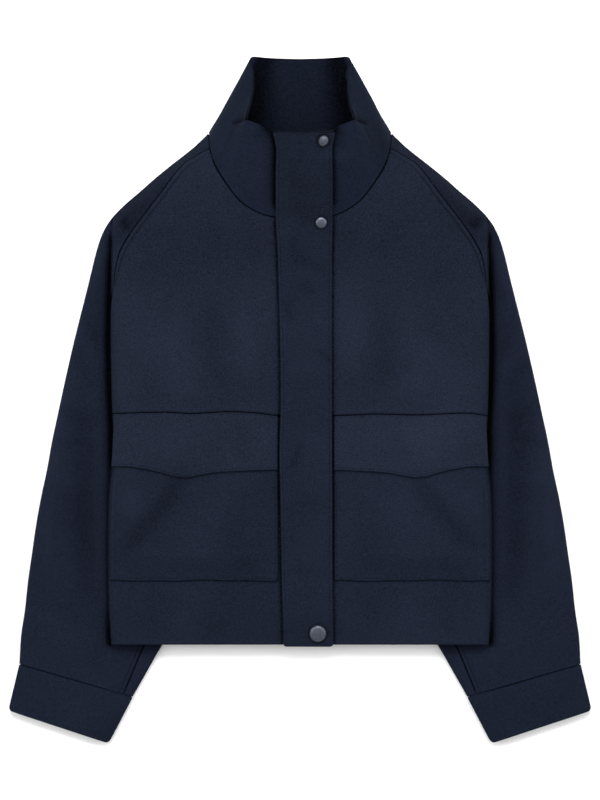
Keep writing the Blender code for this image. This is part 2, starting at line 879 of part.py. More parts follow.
def make_snap(name, x, y, radius):
    # A domed cap, turned about its own axis.
    profile = ((0, 2.6), (0.45, 2.4), (0.8, 1.7), (0.96, 0.9), (1, 0.2), (0.94, 0), (0, 0))
    shape = bmesh.new()
    points = [shape.verts.new((share * radius * METRES, 0, z * METRES)) for share, z in profile]
    for first, second in zip(points, points[1:]):
        shape.edges.new((first, second))
    mesh = bpy.data.meshes.new(name)
    shape.to_mesh(mesh)
    shape.free()
    mesh.materials.append(material(name + " metal", GUNMETAL, 0.35, 0.9))
    cap = bpy.data.objects.new(name, mesh)
    jacket.objects.link(cap)
    turn = cap.modifiers.new("Screw", "SCREW")
    turn.steps = turn.render_steps = 18
    turn.use_merge_vertices = True
    turn.merge_threshold = 0.00001
    turn.use_normal_calculate = True
    above, below = centre_height(x, y + radius), centre_height(x, y - radius)
    tilt = Vector((0, -(above - below) / (2 * radius), 1)).normalized()
    seat = max(centre_height(x, y), (above + below) / 2)
    base = Vector((x, y, seat + PLACKET_LIFT)) + tilt * 0.4
    cap.location = base * METRES
    cap.rotation_mode = "QUATERNION"
    cap.rotation_quaternion = Vector((0, 0, 1)).rotation_difference(tilt)


for leftover in list(bpy.data.objects):
    bpy.data.objects.remove(leftover)
jacket = bpy.data.collections.new("wool jacket")
bpy.context.scene.collection.children.link(jacket)

make_back()
make_collar()
for side, sign in (("right", -1), ("left", 1)):
    make_front_upper(side, sign)
    make_front_lower(side, sign)
    make_pocket(side, sign)
    make_flap(side, sign)
    make_sleeve_top(side, sign)
    make_sleeve_under(side, sign)
    make_cuff(side, sign)
make_placket()
for row in zip(*(SNAPS[column] for column in ("name", "x", "y", "radius"))):
    make_snap(*row)
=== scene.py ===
import math

import bmesh
import bpy
import numpy as np
from mathutils import Matrix, Vector
from mathutils.bvhtree import BVHTree


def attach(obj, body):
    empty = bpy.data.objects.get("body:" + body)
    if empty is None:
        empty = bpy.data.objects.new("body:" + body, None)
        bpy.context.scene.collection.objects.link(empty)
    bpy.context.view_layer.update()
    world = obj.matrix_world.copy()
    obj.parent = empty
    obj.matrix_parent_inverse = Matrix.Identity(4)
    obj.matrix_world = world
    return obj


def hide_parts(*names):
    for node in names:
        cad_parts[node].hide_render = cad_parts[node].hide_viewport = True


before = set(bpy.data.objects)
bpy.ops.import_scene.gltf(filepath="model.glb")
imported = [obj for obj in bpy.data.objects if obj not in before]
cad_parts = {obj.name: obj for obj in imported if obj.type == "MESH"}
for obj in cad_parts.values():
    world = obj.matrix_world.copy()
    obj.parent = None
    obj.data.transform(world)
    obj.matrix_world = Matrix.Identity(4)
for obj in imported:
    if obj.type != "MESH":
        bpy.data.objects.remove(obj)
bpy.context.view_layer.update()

# A wool jacket laid flat on its back, seen from straight above.
# X runs to the wearer's left, Y to the collar, Z up from the floor.
# Sizes are in millimetres until a mesh is made; "a" is the distance from the centre line.
mm = 0.001
sides = (("right", -1), ("left", 1))
surfaces = {}  # the upper face of each piece, for the stitches that lie on it
cloths = {}


def table(names, *rows):
    return {name: np.array(column, float) for name, column in zip(names.split(), zip(*rows))}


def curve(keys, values):
    # A smooth curve through the points that never swings past them.
    keys, values = np.array(keys, float), np.array(values, float)
    if keys[0] > keys[-1]:
        keys, values = keys[::-1], values[::-1]
    steps = np.diff(values) / np.diff(keys)
    slopes = np.concatenate([steps[:1], np.zeros(len(steps) - 1), steps[-1:]])
    same = steps[:-1] * steps[1:] > 0
    total = np.where(same, steps[:-1] + steps[1:], 1.0)
    slopes[1:-1] = np.where(same, 2 * steps[:-1] * steps[1:] / total, 0.0)

    def at(key):
        key = np.clip(key, keys[0], keys[-1])
        i = np.clip(np.searchsorted(keys, key, side="right") - 1, 0, len(keys) - 2)
        span = keys[i + 1] - keys[i]
        t = (key - keys[i]) / span
        rise = values[i + 1] - values[i]
        start, end = slopes[i] * span, slopes[i + 1] * span
        return values[i] + t * (start + t * ((3 * rise - 2 * start - end) + t * (start + end - 2 * rise)))

    return at


def smooth(t):
    t = np.clip(t, 0.0, 1.0)
    return t * t * (3 - 2 * t)


def rounded(distance, reach):
    t = 1 - np.clip(distance / reach, 0.0, 1.0)
    return np.sqrt(1 - t * t)


def mix(first, second, t):
    return first + (second - first) * t


def lineThrough(points, count=160):
    # A smooth plan line through a few points.
    points = np.array(points, float)
    steps = np.arange(len(points))
    at = np.linspace(0, len(points) - 1, count)
    return np.stack([curve(steps, points[:, k])(at) for k in range(points.shape[1])], axis=1)


def distanceTo(line, a, y):
    nearest = np.full(np.shape(a), 1e9)
    for (a0, y0), (a1, y1) in zip(line[:-1], line[1:]):
        run = (a1 - a0) ** 2 + (y1 - y0) ** 2
        t = np.clip(((a - a0) * (a1 - a0) + (y - y0) * (y1 - y0)) / run, 0, 1)
        nearest = np.minimum(nearest, np.hypot(a - a0 - t * (a1 - a0), y - y0 - t * (y1 - y0)))
    return nearest


cloth = {
    "wool": 2.0,
    "collar": 3.4,
    "placket": 3.6,
    "flap": 2.4,
    "cuff": 2.8,
    "seam": 0.3,
    "rest": 0.6,
}

body = {
    "hem": -293.4,
    "waist": -15.6,
    "underarm": -77.0,
    "sideRoll": 10.0,
    "shoulderRoll": 16.0,
    "creaseTop": 212.0,
    "creaseFull": 186.0,
    "edge": table(
        "y a",
        (-293.4, 226.4), (-250, 229.0), (-216, 229.9), (-160, 230.0), (-120, 229.2),
        (-84, 226.0), (-60, 224.4), (-38, 224.2), (-15.6, 225.2), (0, 225.8), (80, 227.2),
        (120, 227.0), (160, 226.4), (190, 225.5), (212, 226.0),
    ),
    "rise": table(
        "y crown side",
        (-293.4, 24.5, 22.0), (-216, 27.0, 23.0), (-80, 31.0, 24.0), (80, 34.0, 24.0),
        (160, 38.0, 23.5), (216, 42.0, 22.5), (260, 44.0, 22.5), (320, 44.0, 22.5),
    ),
    "rim": table(
        "y z",
        (-293.4, 12.4), (-95, 12.2), (-60, 9.6), (120, 9.4), (150, 9.0), (330, 9.0),
    ),
}

sleeve = {
    "lapRise": 50.0,
    "underWrap": 14.0,
    "foldReach": 6.0,
    "foldDepth": 3.6,
    "openSections": 19,
    "shoulderSections": 14,
    "rows": table(
        "outerA outerY backA backY over",
        (110.3, 319.2, 84.0, 304.4, 0), (118.0, 311.6, 95.0, 291.0, 0),
        (127.5, 302.8, 108.0, 278.5, 0), (140.4, 292.4, 122.0, 266.0, 0),
        (158.4, 278.4, 139.0, 249.0, 0), (175.8, 264.0, 154.0, 231.0, 0),
        (192.0, 249.6, 167.0, 214.0, 0), (208.8, 235.2, 178.0, 197.0, 0),
        (223.2, 220.8, 187.0, 180.0, 0), (232.5, 208.0, 194.0, 163.0, 0),
        (239.5, 193.0, 200.0, 146.0, 0), (244.6, 176.5, 205.0, 130.0, 0),
        (250.8, 151.2, 211.0, 108.0, 0), (255.5, 132.0, 214.5, 88.0, 0),
        (263.4, 100.8, 216.5, 62.0, 0), (272.5, 64.0, 217.6, 38.0, 0),
        (283.2, 16.8, 217.6, 8.0, 0), (290.4, -16.8, 217.6, -20.0, 0),
        (297.6, -50.4, 215.5, -50.0, 0), (303.6, -84.0, 202.0, -84.0, 8),
        (310.8, -117.6, 174.0, -118.0, 22), (316.8, -151.2, 155.0, -153.0, 24),
        (321.6, -184.8, 147.0, -190.0, 24), (326.4, -218.4, 142.0, -228.0, 24),
        (330.0, -252.0, 152.0, -268.0, 24), (334.8, -285.6, 175.0, -310.5, 18),
        (336.5, -316.6, 200.9, -356.2, 11),
    ),
    "armhole": (
        (108.6, 301.0), (116.8, 296.9), (125.0, 291.9), (137.5, 284.3), (151.3, 268.9),
        (164.8, 250.5), (176.5, 235.3), (188.2, 220.0), (199.2, 205.4), (206.0, 195.4),
        (211.4, 186.2), (216.4, 176.2), (220.9, 157.5), (223.2, 138.5), (220.0, 104.0),
        (218.0, 66.0), (217.6, 16.0), (218.0, -18.0), (219.4, -50.0),
    ),
    "rise": table(
        "y crown crease fold edge",
        (-380, 11.5, 11.5, 8.5, 5.4), (-330, 12.0, 11.4, 8.5, 5.4), (-306, 12.8, 10.0, 7.6, 5.4),
        (-292, 13.4, 9.0, 7.0, 5.4), (-150, 14.8, 9.0, 6.6, 5.4), (-100, 15.2, 6.7, 6.5, 5.5),
        (-60, 15.6, 6.7, 6.5, 5.6), (-25, 16.0, 8.4, 6.5, 5.8), (0, 16.2, 9.0, 6.5, 6.0),
        (100, 17.4, 9.0, 6.5, 6.4), (186, 19.0, 9.0, 6.5, 8.0), (240, 20.0, 20.0, 6.5, 9.0),
        (320, 22.0, 22.0, 6.5, 9.0),
    ),
    # The open valley between body and sleeve: its width, its depth, how steeply it ends.
    "valley": table(
        "y width depth steep",
        (-330, 0.0, 0.0, 0.0), (-302, 0.4, 0.0, 0.2), (-290, 4.0, 2.0, 1.0), (-262, 2.8, 2.4, 1.0),
        (-236, 1.2, 1.6, 1.0), (-150, 1.2, 1.4, 1.0), (-92, 2.2, 1.6, 1.0), (-66, 4.2, 2.0, 1.0),
        (-20, 5.0, 3.8, 1.0), (40, 5.9, 4.4, 1.0), (100, 5.4, 4.4, 1.0), (150, 4.4, 4.2, 1.0),
        (186, 3.0, 3.2, 1.0), (204, 1.4, 1.2, 0.6), (216, 0.0, 0.0, 0.0),
    ),
}

neckSeam = (
    (8.0, 216.2), (31.2, 218.4), (44.4, 221.5), (60.0, 229.2), (73.2, 239.2), (86.4, 255.6),
    (98.4, 273.6), (101.0, 278.4), (103.0, 282.8), (105.0, 288.0), (108.6, 301.0),
    (109.6, 310.0), (110.3, 319.2),
)
neckLine = lineThrough(neckSeam)
armholeLine = lineThrough(sleeve["armhole"][:14])

bodyEdge = curve(body["edge"]["y"], body["edge"]["a"])
frontCrown = curve(body["rise"]["y"], body["rise"]["crown"])
frontSide = curve(body["rise"]["y"], body["rise"]["side"])
frontRim = curve(body["rim"]["y"], body["rim"]["z"])
riseAt = {name: curve(sleeve["rise"]["y"], sleeve["rise"][name]) for name in ("crown", "crease", "fold", "edge")}
valleyAt = {name: curve(sleeve["valley"]["y"], sleeve["valley"][name]) for name in ("width", "depth", "steep")}
sections = np.arange(len(sleeve["rows"]["over"]))
rowAt = {name: curve(sections, values) for name, values in sleeve["rows"].items()}
innerFold = curve(sleeve["rows"]["backY"], sleeve["rows"]["backA"])

outlinePoints = list(zip(sleeve["rows"]["outerA"], sleeve["rows"]["outerY"])) + [(338.0, -340.0)]
outline = lineThrough(outlinePoints, 220)
outlineA = curve([y for a, y in outlinePoints], [a for a, y in outlinePoints])

# Soft folds placed on the upper layer. Each row is a line, its half width,
# its height (a trough is below zero) and how far its middle bows aside.
folds = (
    # chest, beside the placket and above the flaps
    (-103, 118, -93, 0, 16, -1.35, 5),
    (100, 112, 92, -4, 16, -1.3, -6),
    (-68, 100, -62, 22, 13, 0.95, -3),
    (68, 98, 62, 26, 13, 0.9, 2),
    (-150, 76, -138, 2, 20, 1.0, 3),
    (152, 70, 138, 4, 20, 1.0, -4),
    (-182, 172, -128, 138, 12, -0.35, 4),
    (186, 166, 140, 120, 12, -0.32, -3),
    (-196, 150, -160, 92, 12, -0.3, -5),
    (200, 146, 172, 98, 10, -0.3, 3),
    (-118, 226, -84, 176, 12, -0.3, 3),
    (124, 222, 86, 168, 13, -0.32, -4),
    (-52, 196, -46, 128, 10, -0.45, 2),
    (58, 200, 52, 146, 11, -0.4, -2),
    # flaps and pockets
    (-140, -30, -150, -82, 24, 0.9, 3),
    (142, -28, 152, -80, 24, 0.85, -3),
    (-72, -34, -58, -78, 13, -0.45, 2),
    (70, -40, 60, -80, 12, -0.4, -2),
    (-140, -94, -216, -186, 12, -2.1, -5),
    (-196, -112, -214, -140, 10, 0.9, 0),
    (141, -96, 214, -182, 12, -1.9, 6),
    (198, -112, 215, -142, 10, 0.8, 0),
    (-60, -112, -74, -196, 14, -0.55, 4),
    (66, -108, 78, -200, 15, -0.5, -5),
    (-104, -122, -120, -206, 17, 0.55, 3),
    (108, -118, 128, -204, 16, 0.5, -3),
    (-205, -110, -196, -150, 9, 0.4, 2),
    # hem
    (-182, -226, -174, -288, 12, -0.5, 2),
    (-96, -232, -104, -290, 14, -0.45, -3),
    (88, -228, 96, -286, 13, -0.5, 3),
    (176, -230, 170, -290, 12, -0.4, -2),
    (-140, -224, -138, -292, 13, 0.4, 0),
    (134, -226, 136, -292, 13, 0.4, 0),
    # shoulders
    (-213, 216, -206, 202, 5, -2.0, 0),
    (216, 218, 206, 205, 5, -1.9, 0),
    (-220, 214, -216, 194, 4, 0.8, 1),
    (221, 212, 217, 192, 4, 0.8, -1),
    (-206, 232, -170, 246, 9, 0.3, 2),
    (204, 230, 172, 246, 9, 0.3, -2),
    # sleeves
    (-262, 120, -238, 60, 9, -0.8, 3),
    (261, 108, 240, 52, 9, -0.75, -3),
    (-284, 66, -246, 12, 11, -0.9, -4),
    (286, 52, 250, 4, 10, -0.85, 5),
    (-296, -6, -244, -34, 9, -0.8, 3),
    (294, 2, 246, -30, 10, -0.75, -3),
    (-300, -56, -250, -58, 9, -0.65, -3),
    (302, -62, 252, -48, 9, -0.7, 3),
    (-306, -86, -256, -104, 11, 0.6, 3),
    (308, -94, 258, -96, 10, 0.55, -2),
    (-256, 0, -253, -240, 15, -2.3, 4),
    (-286, 10, -302, -200, 9, 1.1, 2),
    (-258, 176, -266, 60, 7, 0.9, 1),
    (-242, 150, -244, 40, 6, -0.7, 1),
    (257, 4, 254, -236, 15, -2.2, -5),
    (287, 4, 302, -190, 9, 1.0, -2),
    (258, 170, 266, 66, 7, 0.9, -1),
    (242, 146, 245, 36, 6, -0.7, -1),
    (-304, -140, -298, -226, 10, 0.45, 3),
    (300, -134, 302, -222, 10, 0.4, -2),
    (-300, -246, -252, -270, 9, -0.5, 2),
    (304, -240, 256, -276, 9, -0.55, -2),
    (-250, -300, -232, -336, 9, -0.35, 2),
    (252, -302, 236, -338, 9, -0.35, -2),
)


def foldHeight(x, y, rows):
    z = 0.0 * x
    for x0, y0, x1, y1, width, height, bow in rows:
        length = math.hypot(x1 - x0, y1 - y0)
        t = ((x - x0) * (x1 - x0) + (y - y0) * (y1 - y0)) / length**2
        off = ((x - x0) * (y1 - y0) - (y - y0) * (x1 - x0)) / length
        off = off - bow * (1 - np.clip(2 * t - 1, -1, 1) ** 2)
        ends = smooth((t + 0.22) / 0.5) * smooth((1.22 - t) / 0.5)
        z = z + height * ends * np.exp(-((off / width) ** 2))
    return z


def drape(x, y):
    # How far the upper layer stands off its even form, the same for every piece on it.
    low = 0.55 * np.sin(x / 33 + 0.8) * np.sin(y / 44 + 1.9)
    low = low + 0.35 * np.sin(x / 17 - y / 61 + 0.4) * np.sin(y / 29 + 0.3)
    low = low + 0.14 * np.sin(x / 9.5 + y / 23 + 1.1) * np.sin(x / 41 - y / 13.5)
    return low + 2.2 * foldHeight(x, y, folds)


def paintedFoldShade(x, y):
    # Painted shade in the fold troughs and a painted highlight on the fold ridges.
    return 0.13 * np.clip(foldHeight(x, y, folds), -2.2, 1.2)


waistWave = curve(
    (-226, -161, -132, -84, -50, -28, 0, 40, 95, 137, 198, 226),
    (-0.7, 1.1, -0.4, 1.7, 0.0, -2.6, -2.8, -2.9, -1.1, -2.2, 0.0, -3.4),
)


def waver(x, y):
    # The waist seam and the pocket's lower edge aren't quite straight.
    waist = waistWave(x) * np.exp(-(((y - body["waist"]) / 24) ** 2))
    low = (0.5 * np.sin(x / 21 + 0.4) + 0.35 * np.sin(x / 9 + 2.0)) * np.exp(-(((y + 216.4) / 18) ** 2))
    return waist + low


def frontHeight(a, y, crease=None):
    side, crown, edge = frontSide(y), frontCrown(y), bodyEdge(y)
    wide = mix(edge, outlineA(y), smooth((y - 190) / 44))
    share = np.clip(a / wide, 0, 1)
    core = side + (crown - side) * (1 - share * share)
    depth = smooth((body["creaseTop"] - y) / (body["creaseTop"] - body["creaseFull"]))
    low = frontRim(y) if crease is None else crease
    low = mix(core, low, depth)
    core = mix(low, core, rounded(edge - a, body["sideRoll"]))
    rim = riseAt["edge"](y)
    return mix(rim, core, rounded(distanceTo(outline, a, y), body["shoulderRoll"]))


def sleeveHeight(a, y):
    # The sleeve beside the body, in the valley, and where it lies under the body.
    edge, crown, fold = riseAt["edge"](y), riseAt["crown"](y), riseAt["fold"](y)
    crease = np.minimum(riseAt["crease"](y), np.where(y < -200, 99.0, 9.0))
    side, beside = frontSide(y), a - bodyEdge(y)
    depth = smooth((body["creaseTop"] - y) / (body["creaseTop"] - body["creaseFull"]))
    width, dip, steep = (valleyAt[name](y) for name in ("width", "depth", "steep"))
    low = mix(side, crease, depth)
    dipped = low - dip * smooth((beside + 6) / 4)
    top = mix(crown, side, smooth((y - 196) / 34))
    swell = mix(smooth(beside / 24), rounded(beside - width, 20.0), steep)
    outside = mix(dipped, top, np.where(beside > 0, swell, 0))
    shoulder = frontHeight(a, y, crease=np.minimum(crease, 9.0))
    inner = innerFold(y)
    lap = mix(fold, crease, np.clip((a - inner) / sleeve["lapRise"], 0, 1))
    under = np.where(y < body["underarm"], lap, crease) - dip * smooth((beside + 6) / 4)
    under = mix(under, shoulder, smooth((y - 118) / 20))
    core = np.where(beside > 0, outside, under)
    roll = 13 + 3 * smooth((y - 120) / 36)
    return mix(edge, core, rounded(distanceTo(outline, a, y), roll))


stitchInset = curve((128, 146, 160, 178), (1.6, 2.6, 4.4, 5.5))  # the raglan topstitch runs into its seam


def seamDrop(distance, drop=0.95, reach=1.9):
    # A sewn edge turns down into its seam.
    return drop * (1 - rounded(distance, reach))


def armholeTone(y):
    # The raglan seam's painted shade grows weaker towards the neck.
    return mix(0.72, 0.20, smooth((y - 258) / 34))


def paintedShade(distance):
    # Painted shade in a seam, with a painted highlight on its two shoulders.
    return -0.36 * np.exp(-((distance / 1.1) ** 2)) + 0.06 * np.exp(-(((distance - 2.8) / 1.3) ** 2))


def waistShade(distance):
    # Painted shade in the waist seam, with a faint painted highlight beside it.
    return -0.30 * np.exp(-((distance / 2.0) ** 2)) + 0.05 * np.exp(-(((distance - 4.5) / 1.6) ** 2))


def stitchDip(distance, inset, depth=0.32):
    return depth * np.exp(-(((distance - inset) / 1.1) ** 2))


def spread(length, spacing, first, last):
    # Distances along a length: the given ones beside its two ends, even ones between.
    first, last = np.array(first, float), np.array(last, float)
    most = np.max(length)
    middle = max(int((most - first[-1] - last[-1]) / spacing), 3)
    length = np.asarray(length, float).reshape(-1, 1)
    room = np.minimum(1, 0.42 * length / max(first[-1], last[-1]))
    head, tail = first * room, length - last[::-1] * room
    shares = np.linspace(0, 1, middle + 2)[1:-1]
    return np.hstack([head, mix(head[:, -1:], tail[:, :1], shares), tail])


def planUv(x, y, z, angle=0.0):
    # Cloth coordinates in metres: the plan, let out where the surface is steep.
    run = np.hypot(np.diff(x, axis=1), np.diff(y, axis=1))
    slack = np.hypot(run, np.diff(z, axis=1)) - run
    extra = np.concatenate([np.zeros((len(x), 1)), np.cumsum(slack, axis=1)], axis=1)
    turn = math.radians(angle)
    u = x * math.cos(turn) + y * math.sin(turn)
    v = y * math.cos(turn) - x * math.sin(turn)
    grows = np.sign(u[:, -1:] - u[:, :1])
    return np.stack([(u + grows * extra) * mm, v * mm], axis=2)


def makeCloth(name, points, wall, material, uv, shade=None, flip=False, closed=False, rim=42):
    # A grid shaped into one cut piece, then given its wall inwards and a soft rim.
    rows, columns = points.shape[:2]
    shape = bmesh.new()
    bmesh.ops.create_grid(shape, x_segments=columns - 1, y_segments=rows - 1, size=0.5)
    grid = np.array([(v.co.y, v.co.x) for v in shape.verts])
    row = np.rint((grid[:, 0] + 0.5) * (rows - 1)).astype(int)
    column = np.rint((grid[:, 1] + 0.5) * (columns - 1)).astype(int)
    if flip:
        bmesh.ops.reverse_faces(shape, faces=shape.faces[:])
    mesh = bpy.data.meshes.new(name + "_cloth")
    shape.to_mesh(mesh)
    shape.free()
    placed = (points[row, column] * mm).astype(np.float32)
    mesh.vertices.foreach_set("co", placed.ravel())
    # Each point carries its painted shade and painted highlight, which the wool material adds to its colour.
    tone = mesh.attributes.new("paintedShade", "FLOAT", "POINT")
    tone.data.foreach_set("value", (np.zeros(len(row)) if shade is None else shade[row, column]).astype(np.float32))
    corner = np.empty(len(mesh.loops), dtype=np.int32)
    mesh.loops.foreach_get("vertex_index", corner)
    layer = mesh.uv_layers.new(name="cloth")
    layer.data.foreach_set("uv", uv[row, column][corner].astype(np.float32).ravel())
    if closed:
        shape = bmesh.new()
        shape.from_mesh(mesh)
        bmesh.ops.remove_doubles(shape, verts=shape.verts[:], dist=0.00001)
        shape.to_mesh(mesh)
        shape.free()
    mesh.update()
    mesh.shade_smooth()
    mesh.materials.append(material)
    piece = bpy.data.objects.new(name + "_cloth", mesh)
    bpy.context.collection.objects.link(piece)
    shape = bmesh.new()
    shape.from_mesh(mesh)
    surfaces[name] = BVHTree.FromBMesh(shape)
    shape.free()
    thick = piece.modifiers.new("Wall", "SOLIDIFY")
    thick.thickness = wall * mm
    thick.offset = -1.0
    soft = piece.modifiers.new("Rim", "BEVEL")
    soft.offset_type = "PERCENT"
    soft.width_pct = rim
    soft.segments = 2
    soft.limit_method = "ANGLE"
    soft.angle_limit = math.radians(55)
    soft.use_clamp_overlap = False
    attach(piece, "root")
    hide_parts(name)
    cloths[name] = piece
    along = np.linalg.norm(np.diff(points, axis=0), axis=2).sum(axis=0)
    across = np.linalg.norm(np.diff(points, axis=1), axis=2).sum(axis=1)
    d1 = points[1:, 1:] - points[:-1, :-1]
    d2 = points[1:, :-1] - points[:-1, 1:]
    area = np.linalg.norm(np.cross(d1, d2), axis=2).sum() / 2
    print(f"  {name}: {rows} x {columns}, across {across.max():.0f}, along {along.max():.0f} mm, area {area * 1e-6:.4f} m2")
    return piece


# Materials

def nodesFor(name):
    material = bpy.data.materials.new(name)
    material.use_nodes = True
    tree = material.node_tree
    return material, tree, tree.nodes["Principled BSDF"]


def node(tree, kind, **settings):
    made = tree.nodes.new(kind)
    for name, value in settings.items():
        if name in made.inputs.keys():
            made.inputs[name].default_value = value
        else:
            setattr(made, name, value)
    return made


def noise(tree, source, scale, detail=3.0, rough=0.55):
    made = node(tree, "ShaderNodeTexNoise", Scale=scale, Detail=detail, Roughness=rough)
    tree.links.new(source, made.inputs["Vector"])
    return made.outputs["Fac"]


def sums(tree, operation, *values):
    made = node(tree, "ShaderNodeMath", operation=operation)
    for k, value in enumerate(values):
        if isinstance(value, (int, float)):
            made.inputs[k].default_value = value
        else:
            tree.links.new(value, made.inputs[k])
    return made.outputs[0]


wool = {
    "twill": 505.0,  # a rib each 0.9 mm
    "sheen": 0.024,
    "sheenRough": 0.5,
    "gloss": 0.02,
    # One navy wool; each piece's tint is set lighter or darker as painted light and shade for how the light falls on
    # it.
    "paintedLightTints": {
        "chest": (0.00818, 0.01085, 0.01945),
        "sleeve": (0.00672, 0.00884, 0.01698),
        "lower": (0.00724, 0.00979, 0.01813),
        "flap": (0.00884, 0.01155, 0.02075),
        "pocket": (0.00736, 0.00983, 0.01819),
        "placket": (0.00679, 0.00903, 0.01674),
        "collar": (0.00587, 0.00827, 0.01592),
        "cuff": (0.00658, 0.00886, 0.01673),
        "back": (0.00835, 0.01099, 0.01927),
    },
}


def woolMaterial(name, tint, turn=0.0):
    material, tree, shader = nodesFor(name)
    link = tree.links.new
    cloth2d = node(tree, "ShaderNodeUVMap", uv_map="cloth").outputs[0]
    space = tree.nodes.new("ShaderNodeTexCoord").outputs["Object"]
    mapping = node(tree, "ShaderNodeMapping")
    mapping.inputs["Rotation"].default_value = (0, 0, math.radians(turn))
    link(cloth2d, mapping.inputs["Vector"])
    grain = mapping.outputs[0]
    ribs = node(
        tree, "ShaderNodeTexWave", wave_type="BANDS", bands_direction="DIAGONAL",
        Scale=wool["twill"], Distortion=1.6, Detail=2.0,
    )
    ribs.inputs["Detail Scale"].default_value = 0.7
    link(grain, ribs.inputs["Vector"])
    yarn = node(tree, "ShaderNodeMapping")
    yarn.inputs["Scale"].default_value = (1.0, 0.28, 1.0)
    link(grain, yarn.inputs["Vector"])
    threads = noise(tree, yarn.outputs[0], 620.0, 2.0)
    weft = node(tree, "ShaderNodeMapping")
    weft.inputs["Scale"].default_value = (0.3, 1.0, 1.0)
    link(grain, weft.inputs["Vector"])
    picks = noise(tree, weft.outputs[0], 560.0, 2.0)
    fuzz = noise(tree, space, 2400.0, 3.0, 0.7)
    heather = noise(tree, space, 560.0, 3.0, 0.7)
    cloud = noise(tree, space, 9.0, 3.0)
    grainHeight = sums(tree, "ADD", sums(tree, "MULTIPLY", ribs.outputs["Fac"], 0.5),
                       sums(tree, "MULTIPLY", sums(tree, "ADD", threads, picks), 0.45))
    height = sums(tree, "ADD", grainHeight, sums(tree, "MULTIPLY", fuzz, 0.55))
    tone = sums(tree, "ADD", sums(tree, "MULTIPLY", sums(tree, "SUBTRACT", grainHeight, 0.7), 0.55),
                sums(tree, "MULTIPLY", sums(tree, "SUBTRACT", heather, 0.5), 2.0))
    tone = sums(tree, "ADD", tone, sums(tree, "MULTIPLY", sums(tree, "SUBTRACT", cloud, 0.5), 0.55))
    tone = sums(tree, "ADD", tone, sums(tree, "MULTIPLY", sums(tree, "SUBTRACT", fuzz, 0.5), 0.5))
    # The painted shade and painted highlights that each piece carries on its points darken or lighten its colour.
    seam = node(tree, "ShaderNodeAttribute", attribute_name="paintedShade").outputs["Fac"]
    tone = sums(tree, "ADD", sums(tree, "ADD", tone, 1.0), seam)
    strength = sums(tree, "MAXIMUM", tone, 0.03)
    colour = node(tree, "ShaderNodeVectorMath", operation="SCALE")
    colour.inputs[0].default_value = tint
    link(strength, colour.inputs["Scale"])
    link(colour.outputs[0], shader.inputs["Base Color"])
    rough = node(tree, "ShaderNodeMapRange")
    rough.inputs["To Min"].default_value = 0.80
    rough.inputs["To Max"].default_value = 0.98
    link(fuzz, rough.inputs["Value"])
    link(rough.outputs[0], shader.inputs["Roughness"])
    bump = node(tree, "ShaderNodeBump", Strength=0.55, Distance=0.00035)
    link(height, bump.inputs["Height"])
    link(bump.outputs[0], shader.inputs["Normal"])
    shader.inputs["Specular IOR Level"].default_value = wool["gloss"]
    shader.inputs["Sheen Weight"].default_value = wool["sheen"]
    shader.inputs["Sheen Roughness"].default_value = wool["sheenRough"]
    shader.inputs["Sheen Tint"].default_value = (0.48, 0.60, 1.0, 1.0)
    return material


wools = {name: woolMaterial("navy wool " + name, tint) for name, tint in wool["paintedLightTints"].items()}
print("materials made")


# Fronts

edgeSteps = (0, 0.9, 1.8, 2.9, 4.2, 5.5, 6.8, 8.4, 10.4)
freeSteps = (0, 0.9, 1.8, 3.0, 4.6, 6.6)
rollSteps = (0, 0.06, 0.2, 0.5, 1.0, 1.7, 2.6, 3.7, 4.7, 5.5, 6.3, 7.6, 9.4)
evenSteps = (0, 0.9, 1.8, 2.7, 3.6, 4.4, 5.1, 5.8, 6.5, 7.3, 8.3, 9.5, 10.8)

placketEdges = table(
    "y right left",
    (-296.0, -21.2, 40.2), (-291.0, -20.9, 40.4), (-216, -22.9, 39.6), (-120, -24.5, 39.4),
    (-66, -25.7, 39.0), (0, -24.2, 38.9), (169, -27.6, 38.9), (218, -30.0, 39.6),
    (264, -30.2, 39.6), (298, -29.4, 38.9), (308, -31.0, 40.4), (319.8, -34.0, 43.0),
)
placketRight = curve(placketEdges["y"], placketEdges["right"])
placketLeft = curve(placketEdges["y"], placketEdges["left"])


def paintedPlacketShade(x, y):
    # Painted shade on the cloth along the edges of the thick placket.
    near = np.minimum(np.abs(x - placketRight(y)), np.abs(x - placketLeft(y)))
    return -0.72 * np.exp(-((near / 1.9) ** 2)) - 0.10 * np.exp(-((near / 6) ** 2))


def paintedSleeveShade(a, y):
    # Painted shade on the body's side wall where the sleeve stands close.
    return 0.85 * smooth((a - bodyEdge(y) + 1.8) / 1.8) * smooth((208 - y) / 24)


front = {
    "centreGap": 0.4,
    "spacing": 2.4,
    "flatUpper": (0.238, 0.332),
    "areaUpper": 0.0594,
    "flatLower": (0.236, 0.280),
    "areaLower": 0.0652,
}


def frontRows():
    gap = front["centreGap"]
    waist = body["waist"] + cloth["seam"] / 2
    inner = [(gap, y) for y in (waist, 22, 62, 100, 130, 152, 174, 196, 216)] + list(neckSeam[1:10])
    outer = [(float(bodyEdge(y)), y) for y in (waist, 22, 62, 100)]
    for i in reversed(range(sleeve["shoulderSections"])):
        off = cloth["seam"] / 2 if i < 9 else 0.35
        outer.append((sleeve["armhole"][i][0] - off, sleeve["armhole"][i][1] - off))
    return np.array(inner, float), np.array(outer, float)


def denseRows(inner, outer, spacing, first, last):
    # Rows between two rails, evenly spaced along them.
    steps = np.arange(len(inner))
    rails = [curve(steps, rail[:, k]) for rail in (inner, outer) for k in (0, 1)]
    fine = np.linspace(0, len(inner) - 1, 3000)
    along = [rail(fine) for rail in rails]
    stride = (np.hypot(np.diff(along[0]), np.diff(along[1])) + np.hypot(np.diff(along[2]), np.diff(along[3]))) / 2
    total = np.concatenate([[0], np.cumsum(stride)])
    at = np.interp(spread(total[-1], spacing, first, last)[0], total, fine)
    return [rail(at) for rail in rails]


